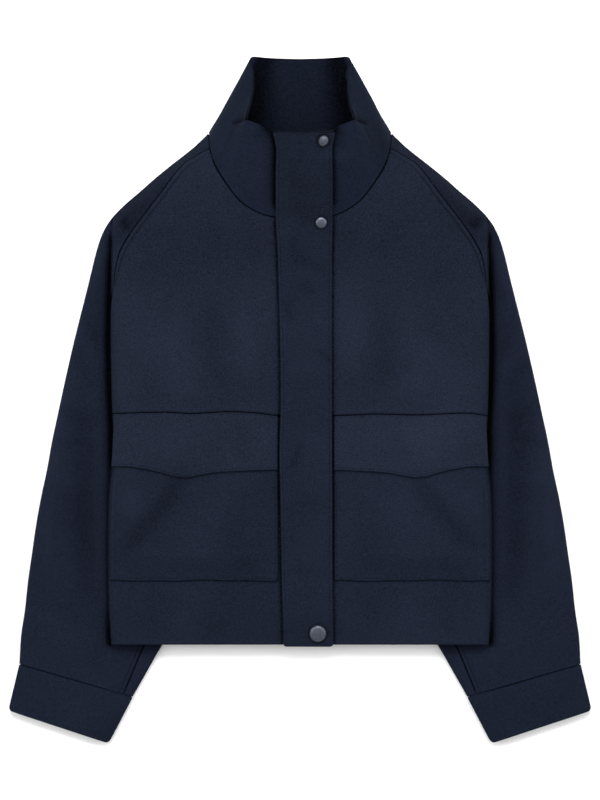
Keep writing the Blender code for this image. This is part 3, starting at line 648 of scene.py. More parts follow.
def makeFrontUpper(side, sign):
    inner, outer = frontRows()
    a0, y0, a1, y1 = denseRows(inner, outer, front["spacing"], edgeSteps, freeSteps)
    lengths = np.hypot(a1 - a0, y1 - y0)
    rolled, even = (spread(lengths, front["spacing"], edgeSteps, last) for last in (rollSteps, evenSteps))
    if rolled.shape[1] > even.shape[1]:
        rolled = np.delete(rolled, len(edgeSteps) + 1, axis=1)
    along = mix(rolled, even, smooth((y1 - 130) / 50)[:, None]) / lengths[:, None]
    a, y = mix(a0[:, None], a1[:, None], along), mix(y0[:, None], y1[:, None], along)
    x = sign * a
    toArmhole = distanceTo(armholeLine, a, y)
    toNeck = distanceTo(neckLine, a, y)
    toWaist = y - body["waist"]
    shown = smooth((y - 128) / 16)
    z = frontHeight(a, y) + drape(x, y)
    z -= seamDrop(toArmhole) * shown + seamDrop(toNeck, 0.7) + seamDrop(toWaist, 0.6, 3.0)
    z -= stitchDip(toArmhole, stitchInset(y)) * shown + stitchDip(toWaist, 5.0, 0.12)
    pucker = 0.13 * np.sin((x + y) / 1.5) * np.exp(-((toArmhole / 7) ** 2)) * shown
    z += pucker + 0.10 * np.sin(x / 1.7) * np.exp(-((toWaist / 6) ** 2))
    # Painted shade in the seams, fold troughs, beside the placket and the sleeve and along the raglan topstitching,
    # darker towards the top, with painted highlights on fold ridges and seam shoulders.
    shown = shown * armholeTone(y)
    shade = paintedShade(toArmhole) * shown + 0.7 * paintedShade(toNeck) + waistShade(toWaist) + paintedFoldShade(x, y) + paintedPlacketShade(x, y)
    shade -= 0.16 * smooth((y - 110) / 70)
    shade -= 0.50 * np.exp(-(((toArmhole - stitchInset(y)) / 1.1) ** 2)) * shown
    shade -= paintedSleeveShade(a, y)
    points = np.stack([x, y + waver(x, y), z], axis=2)
    piece = makeCloth("front_upper_" + side, points, cloth["wool"], wools["chest"], planUv(x, y, z), shade, flip=sign < 0)


lower = {
    "sit": 3.2,
    "sideInset": 3.6,
    "pocketInner": {"right": 26.2, "left": 40.6},
    "corner": {"right": 6.0, "left": 2.0},
    "pocketBottom": -216.4,
    "pocketTop": -64.0,
    "bulge": 6.5,
    "mouth": 2.6,
    "flatPocket": (0.206, 0.154),
    "areaPocket": 0.0302,
    "flatFlap": (0.205, 0.080),
    "areaFlap": 0.0138,
}
flapEdgePoints = table(
    "a y",
    (25, -83.6), (41, -83.9), (71, -85.0), (100, -86.8), (120, -90.0), (138, -92.9),
    (150, -91.7), (164, -87.6), (186, -82.6), (208, -79.7), (226, -80.2),
)
flapEdge = curve(flapEdgePoints["a"], flapEdgePoints["y"])


def hemDrop(x, y):
    # The hem's centre turns down, with its snap.
    return 6.5 * smooth((-254 - y) / 38) * np.exp(-(((x - 12) / 46) ** 2))


def lowerHeight(a, y):
    sit = lower["sit"] * smooth((y - lower["pocketBottom"]) / 130)
    height = frontHeight(a, y) - sit * rounded(bodyEdge(y) - a, body["sideRoll"])
    return np.maximum(height, frontRim(y))


def lowerPoint(a, y, out):
    step = 0.4
    slopeA = (lowerHeight(a + step, y) - lowerHeight(a - step, y)) / (2 * step)
    slopeY = (lowerHeight(a, y + step) - lowerHeight(a, y - step)) / (2 * step)
    length = np.sqrt(1 + slopeA**2 + slopeY**2)
    return a - slopeA * out / length, y - slopeY * out / length, lowerHeight(a, y) + out / length


def makeFrontLower(side, sign):
    top = body["waist"] - cloth["seam"] / 2
    rows = body["hem"] + spread(top - body["hem"], front["spacing"], edgeSteps, edgeSteps)[0]
    edge = bodyEdge(rows)
    a = front["centreGap"] + spread(edge - front["centreGap"], front["spacing"], edgeSteps, rollSteps)
    y = np.repeat(rows[:, None], a.shape[1], axis=1)
    x = sign * a
    toHem, toWaist = y - body["hem"], top - y
    z = lowerHeight(a, y) + drape(x, y) - hemDrop(x, y)
    z -= seamDrop(toHem, 2.2, 3.2) + seamDrop(toWaist, 0.6, 3.0)
    z += 0.10 * np.sin(x / 3.1) * np.exp(-((toHem / 9) ** 2))
    # Painted highlight along the hem; painted shade in the waist seam, the fold troughs, beside the placket, round the
    # pocket's edge and beside the sleeve.
    shade = 0.10 * np.exp(-(((toHem - 2) / 2) ** 2)) + waistShade(toWaist) + paintedFoldShade(x, y) + paintedPlacketShade(x, y)
    shade -= 0.3 * np.exp(-((distanceTo(pocketLine(side), a, y) / 1.3) ** 2))
    shade -= paintedSleeveShade(a, y)
    points = np.stack([x, y + waver(x, y), z], axis=2)
    piece = makeCloth("front_lower_" + side, points, cloth["wool"], wools["lower"], planUv(x, y, z), shade, flip=sign < 0)


def pocketColumns(side, y):
    inner = lower["pocketInner"][side]
    return inner, bodyEdge(y) - lower["sideInset"] - inner


def pocketLine(side):
    rows = np.linspace(lower["pocketTop"], lower["pocketBottom"], 30)
    inner, reach = pocketColumns(side, rows)
    return [(inner + r, y) for r, y in zip(reach, rows)] + [(inner, lower["pocketBottom"]), (inner, lower["pocketTop"])]


def makePocket(side, sign):
    rows = lower["pocketBottom"] + spread(lower["pocketTop"] - lower["pocketBottom"], 2.3, edgeSteps, freeSteps)[0]
    inner, reach = pocketColumns(side, rows)
    across = spread(reach, 2.3, edgeSteps, edgeSteps)
    turned = lower["corner"][side] * (1 - rounded(rows - lower["pocketBottom"], lower["corner"][side]))
    a = inner + across + (turned / reach)[:, None] * (reach[:, None] - across)
    y = np.repeat(rows[:, None], a.shape[1], axis=1)
    share = across / reach[:, None]
    rise = smooth((y - lower["pocketBottom"]) / 34)
    sideways = smooth(share / 0.22) * smooth((1 - share) / 0.2)
    full = mix(lower["mouth"], lower["bulge"], smooth((lower["pocketTop"] - 20 - y) / 70))
    out = cloth["wool"] + 0.4 + full * rise * sideways
    toBottom, toInner, toOuter = y - lower["pocketBottom"], across, reach[:, None] - across
    nearest = np.minimum(np.minimum(toBottom, toInner), toOuter)
    a, y, z = lowerPoint(a, y, out)
    x = sign * a
    z = z + drape(x, y) - seamDrop(nearest, 1.3, 2.0) - stitchDip(nearest, 3.0, 0.28)
    z += 0.12 * np.sin((x - y) / 1.6) * np.exp(-((nearest / 6) ** 2))
    points = np.stack([x, y + waver(x, y), z], axis=2)
    # Painted shade in the edge seams, the fold troughs and beside the placket, with painted highlights on seam
    # shoulders and fold ridges.
    shade = 0.8 * paintedShade(nearest) + paintedFoldShade(x, y) + paintedPlacketShade(x, y)
    piece = makeCloth("pocket_" + side, points, cloth["wool"], wools["pocket"], planUv(x, y, z), shade, flip=sign < 0)


def makeFlap(side, sign):
    top = body["waist"] - cloth["seam"]
    steps = (spread(74.0, 2.2, freeSteps, edgeSteps)[0] / 74.0)[::-1]
    inner, reach = pocketColumns(side, mix(top, -84.0, steps))
    across = spread(reach, 2.3, freeSteps, freeSteps)
    a = inner + across
    down = np.repeat(steps[:, None], a.shape[1], axis=1)
    share = across / reach[:, None]
    y = mix(top, flapEdge(a), down)
    over = lower["mouth"] * smooth(share / 0.22) * smooth((1 - share) / 0.2)
    lift = (cloth["wool"] + over + 0.7) * smooth(down / 0.62)
    toTop, toEdge = (top - y), (y - flapEdge(a))
    toSide = np.minimum(across, reach[:, None] - across)
    free = np.minimum(toEdge, toSide)
    a, y, z = lowerPoint(a, y, cloth["seam"] + cloth["flap"] + 0.35 + lift)
    x = sign * a
    z = z + drape(x, y) - seamDrop(toTop, 1.3, 3.2) - seamDrop(free, 0.9, 1.8) - stitchDip(toTop, 4.5, 0.15)
    z += 0.25 * np.sin(x / 11 + 0.7) * smooth(down)
    points = np.stack([x, y + waver(x, y), z], axis=2)
    # Painted shade in the waist seam, the fold troughs and beside the placket, with a painted highlight along the free
    # edges.
    shade = waistShade(toTop) + 0.10 * np.exp(-((free / 1.6) ** 2)) + paintedFoldShade(x, y) + paintedPlacketShade(x, y)
    piece = makeCloth("flap_" + side, points, cloth["flap"], wools["flap"], planUv(x, y, z), shade, flip=sign < 0)


# Sleeves

def inwardAt(i):
    # From the outer edge into the sleeve, in plan.
    step = 0.05
    before = np.stack([rowAt["outerA"](i - step), rowAt["outerY"](i - step)], axis=-1)
    after = np.stack([rowAt["outerA"](i + step), rowAt["outerY"](i + step)], axis=-1)
    run = after - before
    length = np.maximum(np.linalg.norm(run, axis=-1, keepdims=True), 1e-9)
    inward = np.stack([run[..., 1], -run[..., 0]], axis=-1) / length
    start = np.array([-0.66, -0.75])
    return mix(start, inward, smooth(i / 3.0)[..., None])


def sleeveRails():
    # Front seam and crease point for each section, as curves along the sleeve.
    seamPoints, creaseShares = [], []
    rows = sleeve["rows"]
    for i in range(len(sections)):
        outer = np.array([rows["outerA"][i], rows["outerY"][i]])
        back = np.array([rows["backA"][i], rows["backY"][i]])
        if i < sleeve["openSections"]:
            off = cloth["seam"] / 2 if i < 9 else 0.35
            seam = np.array(sleeve["armhole"][i]) + off
        else:
            seam = mix(back, outer, (rows["over"][i] + cloth["rest"]) / np.linalg.norm(outer - back))
        if i < 10:
            share = (0.75, 0.75, 0.75, 0.75, 0.75, 0.75, 0.75, 0.72, 0.6, 0.45)[i]
        else:
            trial = np.linspace(0.01, 0.99, 99)
            reached = mix(outer[0], seam[0], trial) < bodyEdge(mix(outer[1], seam[1], trial)) + 0.5
            share = min(trial[np.argmax(reached)], 0.94) if reached.any() else 0.9
        seamPoints.append(seam)
        creaseShares.append(share)
    seamPoints = np.array(seamPoints)
    return curve(sections, seamPoints[:, 0]), curve(sections, seamPoints[:, 1]), curve(sections, creaseShares)


seamA, seamY, creaseShareAt = sleeveRails()


def sectionSteps(spacing, first, last):
    fine = np.linspace(0, len(sections) - 1, 4000)
    points = np.stack([rowAt["outerA"](fine), rowAt["outerY"](fine)], axis=1)
    total = np.concatenate([[0], np.cumsum(np.linalg.norm(np.diff(points, axis=0), axis=1))])
    return np.interp(spread(total[-1], spacing, first, last)[0], total, fine)


sleeveLook = {
    "spacing": 2.4,
    "angle": 7.0,  # its grain runs down the sleeve
    "flatTop": (0.186, 0.692),
    "areaTop": 0.0728,
    "flatUnder": (0.200, 0.690),
    "areaUnder": 0.0623,
}


def makeSleeveTop(side, sign):
    i = sectionSteps(sleeveLook["spacing"], freeSteps, edgeSteps)
    outer = np.stack([rowAt["outerA"](i), rowAt["outerY"](i)], axis=1)
    seam = np.stack([seamA(i), seamY(i)], axis=1)
    crease = mix(outer, seam, creaseShareAt(i)[:, None])
    edge = riseAt["edge"](outer[:, 1])
    inward = inwardAt(i)
    wrap, reach = sleeve["underWrap"], sleeve["foldReach"]
    # the outer edge carried round to the underside
    turned = []
    for run, share in ((wrap, 0.0), (wrap - 1, 0.0), (11.0, 0.0), (8.5, 0.0)):
        turned.append(np.column_stack([outer + inward * run, 0 * edge]))
    for k in range(6):
        phi = math.radians(90 - 15 * k)
        turned.append(np.column_stack([outer + inward * reach * (1 - math.cos(phi)), edge * (1 - math.sin(phi))]))
    under = np.stack(turned, axis=1)
    length = np.linalg.norm(crease - outer, axis=1)
    along = spread(length, sleeveLook["spacing"], rollSteps + (11.6, 14.2), (0, 0.9, 1.8, 2.7, 3.6, 4.6, 5.8, 7.2, 9.0, 11.4)) / length[:, None]
    top = mix(outer[:, None], crease[:, None], along[..., None])
    laps = np.linalg.norm(seam - crease, axis=1)
    hiddenAlong = spread(laps, 3.2, (0, 1.2), (0, 0.9, 1.8, 2.9, 3.9, 4.6, 5.3, 6.3, 8.0))[:, 1:] / laps[:, None]
    hidden = mix(crease[:, None], seam[:, None], hiddenAlong[..., None])
    plan = np.concatenate([top, hidden], axis=1)
    a, y = plan[..., 0], plan[..., 1]
    x = sign * a
    z = sleeveHeight(a, y)
    z = z + drape(x, y) * smooth((z - 5) / 5)
    toArmhole = distanceTo(armholeLine, a, y)
    shown = smooth((y - 128) / 16)
    underSeam = lineThrough(np.column_stack([seamA(np.linspace(19, 26, 30)), seamY(np.linspace(19, 26, 30))]), 90)
    toUnder = distanceTo(underSeam, a, y)
    cuffLine = ((336.7, -317.0), (200.7, -356.7))
    toCuff = distanceTo(cuffLine, a, y)
    z -= seamDrop(toArmhole) * shown + seamDrop(toUnder, 0.9) + seamDrop(toCuff, 1.3)
    z -= stitchDip(toUnder, 4.6, 0.3) + stitchDip(toCuff, 4.5, 0.15)
    # Painted shade in the seams, the fold troughs and along the underarm topstitching, with painted highlights on seam
    # shoulders and fold ridges.
    shade = paintedShade(toArmhole) * shown * armholeTone(y) + paintedShade(toUnder) + paintedShade(toCuff) + paintedFoldShade(x, y)
    shade -= 0.3 * np.exp(-(((toUnder - 4.6) / 0.8) ** 2))
    # Painted shade fills the open valley between body and sleeve, with a softer band beside it, and the shoulder is
    # painted darker towards the neck.
    beside = a - bodyEdge(y)
    depth = smooth((valleyAt["width"](y) - 1.0) / 3.5)
    openSide = smooth((beside + 2.2) / 1.6)
    shade -= 0.96 * smooth((valleyAt["width"](y) + 4.2 - beside) / 6.0) * depth * openSide
    shade -= 0.16 * smooth((valleyAt["width"](y) + 15 - beside) / 15) * depth * openSide
    shade -= 0.34 * smooth((y - 170) / 50)
    shade = np.concatenate([np.zeros(under.shape[:2]), shade], axis=1)
    points = np.concatenate([under * np.array([sign, 1, 1]), np.stack([x, y, np.maximum(z, 2.4)], axis=2)], axis=1)
    uv = planUv(points[..., 0], points[..., 1], points[..., 2], sign * sleeveLook["angle"])
    piece = makeCloth("sleeve_top_" + side, points, cloth["wool"], wools["sleeve"], uv, shade, flip=sign < 0)


def makeSleeveUnder(side, sign):
    rows = sleeve["rows"]
    flats, turns, overs = np.linspace(0, 1, 26), np.linspace(-84, 90, 13), np.linspace(0, 1, 12)[1:]
    lips = np.linspace(-84, -10, len(turns) + len(overs))
    profiles = []
    for i in range(len(sections)):
        outer = np.array([rows["outerA"][i], rows["outerY"][i]])
        back = np.array([rows["backA"][i], rows["backY"][i]])
        start = outer + inwardAt(np.array(float(i))) * (sleeve["underWrap"] + cloth["seam"])
        away = (start - back) / np.linalg.norm(start - back)
        opened = i < sleeve["openSections"] - 1
        bend = back + away * (12.0 if opened else sleeve["foldDepth"])
        profile = [(*mix(start, bend, share), 0.0) for share in flats]
        height = float(riseAt["fold"](back[1]))
        if opened:
            profile += [(*mix(bend, back, (k + 1) / len(lips)), 0.0) for k in range(len(lips))]
        else:
            begun = i == sleeve["openSections"] - 1
            for degrees in lips if begun else turns:
                turn = math.radians(degrees)
                point = bend - away * sleeve["foldDepth"] * math.cos(turn)
                profile.append((*point, height / 2 * (1 + math.sin(turn))))
            for share in () if begun else overs:
                point = bend + away * (rows["over"][i] - sleeve["foldDepth"]) * share
                profile.append((*point, float(sleeveHeight(point[0], point[1]))))
        profiles.append(profile)
    profiles = np.array(profiles)
    i = sectionSteps(3.4, freeSteps, edgeSteps)
    points = np.stack([
        np.stack([curve(sections, profiles[:, column, k])(i) for column in range(profiles.shape[1])], axis=1)
        for k in range(3)
    ], axis=2)
    a, y, z = points[..., 0], points[..., 1], points[..., 2]
    x = sign * a
    over = np.zeros(len(flats) + len(lips))
    over[len(flats) + len(turns):] = 1
    weight = over[None, :] * smooth(i - 18.2)[:, None]
    z = mix(z, sleeveHeight(a, y), weight)
    z = z + drape(x, y) * smooth((z - 3) / 4) * smooth(i - 18.0)[:, None]
    toCuff = distanceTo(((336.7, -317.0), (200.7, -356.7)), a, y)
    toSeam = np.linalg.norm(points[:, -1:, :2] - points[..., :2], axis=2) + 90 * (weight < 0.5)
    z = z - seamDrop(toSeam, 0.9) * weight - seamDrop(toCuff, 1.0) * smooth((z - 4) / 3)
    z += 0.5 * smooth((13 - toSeam) / 9) * 0
    # Painted shade in the cuff seam and the fold seam.
    shade = paintedShade(toCuff) + paintedShade(toSeam)
    points = np.stack([x, y, z], axis=2)
    uv = planUv(x, y, z, sign * sleeveLook["angle"])
    piece = makeCloth("sleeve_under_" + side, points, cloth["wool"], wools["sleeve"], uv, shade, flip=sign > 0)


cuff = {
    "seamOuter": (336.7, -317.0),
    "seamInner": (200.7, -356.7),
    "endOuter": (350.0, -372.6),
    "endInner": (229.6, -412.3),
    "thick": 11.6,
    "corner": 5.0,
    "flat": (0.290, 0.057),
}


def makeCuff(side, sign):
    long = 57.0
    down = spread(long, 2.2, freeSteps, freeSteps)[0] / long
    down = np.concatenate([[-4.5 / long, -2.4 / long, -0.7 / long], down])  # an allowance inside the sleeve
    turn = np.linspace(0, 2 * math.pi, 161)
    # more columns where the band turns round its two folds
    turn = turn - 0.42 * np.sin(2 * turn)
    outer = mix(np.array(cuff["seamOuter"]), np.array(cuff["endOuter"]), down[:, None])
    inner = mix(np.array(cuff["seamInner"]), np.array(cuff["endInner"]), down[:, None])
    tuck = cuff["corner"] / 125 * (1 - rounded((1 - down) * long, cuff["corner"] * 1.3))
    outer, inner = mix(outer, inner, tuck[:, None]), mix(inner, outer, tuck[:, None])
    middle = (outer + inner) / 2
    half = (outer - inner) / 2
    flat, tall = np.cos(turn), np.sin(turn)
    reach = np.abs(flat) ** 0.35 * np.sign(flat)
    high = np.abs(tall) ** 0.75 * np.sign(tall)
    toSeam, toEnd = down * long, (1 - down) * long
    pinch = 1 - (seamDrop(toSeam, 1.3, 2.4) + seamDrop(toEnd, 0.9, 2.2) + stitchDip(toSeam, 4.0, 0.2) + stitchDip(toEnd, 5.5, 0.28)) * 2 / cuff["thick"]
    plan = middle[:, None] + half[:, None] * reach[None, :, None] * (1 - 0.010 * (1 - pinch[:, None, None]) * 4)
    inside = smooth(-toSeam / 0.9)[:, None]
    plan = mix(plan, middle[:, None] + half[:, None] * reach[None, :, None] * 0.955, inside[..., None])
    z = cuff["thick"] / 2 * (1 + high[None, :] * mix(pinch[:, None], 0.55, inside))
    x, y = sign * plan[..., 0], plan[..., 1]
    soft = 0.35 * np.sin(x / 13 + 0.6 + sign) * np.sin(y / 17 + 0.5) * smooth(high)[None, :]
    soft = soft + foldHeight(x, y, ((sign * 262, -338, sign * 268, -392, 10, -0.4, 2), (sign * 308, -330, sign * 320, -376, 9, -0.35, -2))) * smooth(high)[None, :]
    z = z + soft * smooth(toSeam / 6)[:, None]
    points = np.stack([x, y, z], axis=2)
    run = np.linalg.norm(np.diff(points, axis=1), axis=2)
    u = np.concatenate([np.zeros((len(down), 1)), np.cumsum(run, axis=1)], axis=1)
    uv = np.stack([u * mm, np.repeat(-down[:, None] * long * mm, len(turn), axis=1)], axis=2)
    # Painted shade in the cuff seam and a painted highlight along the folded end.
    shade = np.repeat((paintedShade(toSeam) + 0.12 * np.exp(-((toEnd / 1.6) ** 2)))[:, None], len(turn), axis=1)
    points[:, -1] = points[:, 0]
    piece = makeCloth("cuff_" + side, points, cloth["cuff"], wools["cuff"], uv, shade, flip=sign < 0, closed=True)


# Back

back = {
    "edge": table(
        "y a",
        (-293.4, 225.6), (-268, 227.8), (-240, 228.8), (-215, 229.2), (-190, 229.4),
        (-165, 229.2), (-140, 228.8), (-118, 228.2), (-100, 227.0), (-86, 223.4), (-76, 218.0),
        (-66, 212.0), (-58, 208.0), (-50, 213.8), (-38, 216.2), (-20, 217.2), (8, 217.2),
        (38, 217.2), (62, 216.1), (88, 214.1), (108, 210.6), (130, 204.6), (146, 199.6),
        (163, 193.6), (180, 186.6), (197, 177.6), (214, 166.6), (231, 153.6), (249, 138.6),
        (266, 121.6), (278.5, 107.6), (291, 94.6), (304.1, 83.6),
    ),
    "lift": table(
        "y a",
        (-293.4, 163.0), (-268, 150.0), (-228, 140.0), (-190, 145.0), (-153, 153.0),
        (-118, 172.0), (-84, 199.0), (-76, 205.0), (-66, 212.0), (-58, 230.0), (-50, 247.0),
        (-38, 260.0), (60, 300.0),
    ),
    "neck": ((0.0, 300.2), (35.0, 300.6), (84.0, 304.4)),
    "ramp": 40.0,
    "spacing": 3.9,
    "flat": (0.461, 0.600),
    "area": 0.2422,
    # soft folds on the underside, where the weight of the jacket has pressed them in
    "folds": (
        (-60, 180, -34, 96, 14, 0.9, 4), (72, 150, 40, 40, 16, 0.8, -5), (-120, 60, -84, -60, 18, 0.9, 6),
        (118, 20, 96, -110, 15, 0.8, -4), (-40, -60, -58, -190, 14, 0.7, -5), (24, -120, 44, -250, 16, 0.8, 4),
        (-150, 190, -100, 224, 12, 0.7, 3), (154, 184, 108, 226, 12, 0.65, -3), (0, 286, 4, 214, 12, 0.5, 2),
        (-100, -200, -92, -280, 12, 0.6, 2), (84, -230, 92, -290, 10, 0.5, -2),
    ),
}
backNeck = curve([p[0] for p in back["neck"]], [p[1] for p in back["neck"]])
backEdge = curve(back["edge"]["y"], back["edge"]["a"])
liftEdge = curve(back["lift"]["y"], back["lift"]["a"])


def backHeight(a, y):
    inside = a - liftEdge(y)
    return 7.3 * smooth((inside + back["ramp"]) / back["ramp"]) + 2.5 * np.clip(inside / sleeve["lapRise"], 0, 1)


def makeBack():
    top = back["edge"]["y"][-1]
    spacing = back["spacing"]
    rows = body["hem"] + spread(top - body["hem"], spacing, freeSteps, edgeSteps)[0]
    edge = backEdge(rows)
    half = spread(edge, spacing, (0, spacing, 2 * spacing), freeSteps)
    x = np.concatenate([-half[:, :0:-1], half], axis=1)
    a = np.abs(x)
    y = np.repeat(rows[:, None], x.shape[1], axis=1)
    bend = backNeck(a) - cloth["seam"] - top
    y = y + bend * smooth((y - 250) / (top - 250))
    z = backHeight(a, y) + np.maximum(foldHeight(x, y, back["folds"]), 0) * smooth((edge[:, None] - a) / 20) * smooth((y + 290) / 20)
    toHem = rows[:, None] - body["hem"] + 0 * x
    z = z + seamDrop(toHem, 1.0, 3.0) * smooth((200 - a) / 30)
    # Painted highlight along the hem and painted shade in the edge and neck seams.
    shade = 0.10 * np.exp(-((toHem / 2) ** 2)) + paintedShade(edge[:, None] - a) * 0.6 + paintedShade(top - rows[:, None] + 0 * x)
    points = np.stack([x, y, z], axis=2)
    piece = makeCloth("back", points, cloth["wool"], wools["back"], planUv(x, y, z), shade, flip=True)


# Collar

collar = {
    "top": (
        (0.0, 408.6, 22.0), (28.0, 409.4, 22.5), (45.0, 410.6, 25.0), (54.0, 411.5, 29.0),
        (57.5, 410.8, 33.0), (59.4, 409.0, 36.5), (60.2, 405.8, 39.5), (58.6, 399.8, 42.0),
        (56.6, 391.8, 45.0), (56.4, 377.0, 50.0), (58.0, 366.0, 53.5), (61.6, 351.0, 58.5),
        (65.0, 341.0, 62.5), (66.2, 335.2, 65.5), (58.0, 331.6, 68.0), (47.6, 327.4, 69.5),
        (38.0, 320.6, 70.0), (9.0, 318.6, 70.0), (0.6, 318.5, 70.0),
    ),
    "swell": 2.4,
    "flat": (0.584, 0.117),
    "area": 0.0476,
    # folds over the collar's own face: place along it (-1 to 1), height share, and so on
    "folds": (
        (-0.72, 0.95, -0.79, 0.35, 0.030, -1.2, 0.01),
        (0.73, 0.92, 0.80, 0.30, 0.030, -1.1, -0.01),
        (-0.50, 0.98, -0.56, 0.15, 0.035, 0.5, 0.0),
        (0.53, 0.95, 0.58, 0.20, 0.035, 0.45, 0.0),
        (-0.30, 0.90, -0.36, 0.20, 0.030, -1.0, 0.01),
        (0.28, 0.85, 0.38, 0.15, 0.030, -0.9, 0.0),
        (-0.08, 0.80, -0.02, 0.15, 0.035, -0.7, 0.0),
        (0.14, 0.90, 0.10, 0.20, 0.030, 0.6, 0.0),
        (-0.19, 0.95, -0.16, 0.30, 0.028, 0.6, 0.0),
    ),
}


def neckRing():
    ring = [(a, y, 0.0) for a, y in back["neck"]]
    shoulder = np.array(neckSeam[-1])
    height = float(riseAt["edge"](319.2))
    halfTurn = 1 - math.sqrt(0.5)
    reach = sleeve["foldReach"]
    for run, z in ((sleeve["underWrap"], 0.0), (reach, 0.0), (reach * halfTurn, height * halfTurn)):
        ring.append((*(shoulder + np.array([-0.66, -0.75]) * run), z))
    ring.append((*shoulder, height))
    for a, y in reversed(neckSeam[:-1]):
        ring.append((a, y, float(frontHeight(np.array(a), np.array(y)))))
    return np.array(ring)


def gridNormals(points):
    across = np.gradient(points, axis=1)
    up = np.gradient(points, axis=0)
    normal = np.cross(across, up)
    return normal / np.maximum(np.linalg.norm(normal, axis=2, keepdims=True), 1e-9)


def makeCollar():
    ring, top = neckRing(), np.array(collar["top"])
    steps = np.arange(len(ring))
    fine = np.linspace(0, len(ring) - 1, 3000)
    middle = np.stack([curve(steps, (ring[:, k] + top[:, k]) / 2)(fine) for k in range(3)], axis=1)
    total = np.concatenate([[0], np.cumsum(np.linalg.norm(np.diff(middle, axis=0), axis=1))])
    at = np.interp(spread(total[-1], 2.2, (0, 2.2, 4.4), freeSteps)[0], total, fine)
    low = np.stack([curve(steps, ring[:, k])(at) for k in range(3)], axis=1)
    high = np.stack([curve(steps, top[:, k])(at) for k in range(3)], axis=1)
    reach = np.linalg.norm(high - low, axis=1)
    gap = curve((0, 60, 95, 108, 111), (0.3, 0.3, 0.9, 1.1, 1.5))(low[:, 0])
    low = low + (high - low) * (gap / reach)[:, None]
    up = spread(100.0, 2.0, edgeSteps, (0, 1.5, 2.8, 4.2, 5.8, 7.4))[0] / 100.0
    half = mix(low[None], high[None], up[:, None, None])
    rising = smooth((low[:, 2] - 20) / 16)
    half[..., 2] += collar["swell"] * np.sin(math.pi * up)[:, None] * rising[None, :]
    mirrored = half[:, :0:-1] * np.array([-1, 1, 1])
    points = np.concatenate([mirrored, half], axis=1)
    place = np.concatenate([-total[-1] * 0 - np.interp(at, fine, total)[:0:-1], np.interp(at, fine, total)]) / total[-1]
    placeGrid, upGrid = np.meshgrid(place, up)
    out = -gridNormals(points)
    length = np.concatenate([reach[:0:-1], reach])[None, :]
    toSeam, toTop = upGrid * length, (1 - upGrid) * length
    wave = 0.35 * np.sin(placeGrid * 21 + 0.6) * np.sin(upGrid * 3 + 0.4) + 0.2 * np.sin(placeGrid * 47 + upGrid * 4)
    push = wave
    for p0, u0, p1, u1, width, height, bow in collar["folds"]:
        t = np.clip((u0 - upGrid) / (u0 - u1), -1, 2)
        centre = mix(p0, p1, t) + bow * (1 - (2 * t - 1) ** 2)
        ends = smooth((t + 0.3) / 0.5) * smooth((1.3 - t) / 0.5)
        push = push + height * ends * np.exp(-(((placeGrid - centre) / width) ** 2))
    x, y = points[..., 0], points[..., 1]
    outer = smooth((points[..., 2] - 41) / 5) * smooth((np.abs(placeGrid) - 0.49) / 0.03)
    beside = np.abs(x - np.where(x < 0, placketRight(y), placketLeft(y)))
    within = (x > placketRight(y)) & (x < placketLeft(y))
    close = np.where(within, 0, beside)
    strong = np.where(x < 0, 1.0, 0.7) * smooth(toSeam / 18)
    push = push - outer * strong * (3.6 * np.exp(-((close / 3.2) ** 2)) + 2.4 * np.exp(-((close / 10) ** 2)))
    toCorner = distanceTo(((63.5, 337.0), (70.5, 333.0), (79.0, 331.0)), np.abs(x), y)
    push = push - 1.9 * outer * np.exp(-((toCorner / 2.6) ** 2))
    push = push * smooth(toSeam / 14) * mix(1.0, 0.55, smooth((12 - toTop) / 12))
    push = push - seamDrop(toSeam, 0.8, 2.2) - stitchDip(toTop, 5.8, 0.3) - stitchDip(toSeam, 5.0, 0.2)
    points = points + out * push[..., None]
    points[..., 2] -= cornerDrop(x, y) * outer
    aside = np.abs(placeGrid)
    inside = smooth((0.33 - aside) / 0.04)  # the back of the collar, seen down its opening
    # Painted shade along the neck seam and the top edge, beside the placket, in the corner crease, over the ridge, the
    # tucks and the steep sides, and deep in the back of the collar seen down its opening, with faint painted light and
    # shade following the wave.
    shade = 0.7 * paintedShade(toSeam) - 0.35 * np.exp(-((toTop / 1.4) ** 2))
    shade = shade - outer * strong * (0.80 * np.exp(-((beside / 2.2) ** 2)) + 0.24 * np.exp(-((close / 8) ** 2)))
    shade = shade - outer * 0.62 * np.exp(-((toCorner / 1.7) ** 2))
    shade = shade - inside * (0.22 + 0.62 * smooth((aside - 0.07) / 0.15))
    ridge = distanceTo(((66.0, 339.0), (78.0, 322.0), (89.0, 306.0)), np.abs(x), y)
    tuck = np.where(x < 0, np.hypot(x + 41, y - 322), 4 + np.hypot(x - 47, y - 322))
    shade = shade - outer * (0.20 * np.exp(-((ridge / 4.5) ** 2)) + 0.34 * np.exp(-((tuck / 10) ** 2)))
    steep = smooth((aside - 0.36) / 0.04) * smooth((0.66 - aside) / 0.06)
    shade = shade + 0.05 * np.clip(wave, -2, 1) * (1 - inside) - 0.20 * steep
    run = np.linalg.norm(np.diff(points[len(up) // 2], axis=0), axis=1)
    u = np.concatenate([[0], np.cumsum(run)])
    uv = np.stack([np.repeat(u[None] * mm, len(up), axis=0), upGrid * length * mm], axis=2)
    piece = makeCloth("collar", points, cloth["collar"], wools["collar"], uv, shade, flip=True)


# Placket and snaps

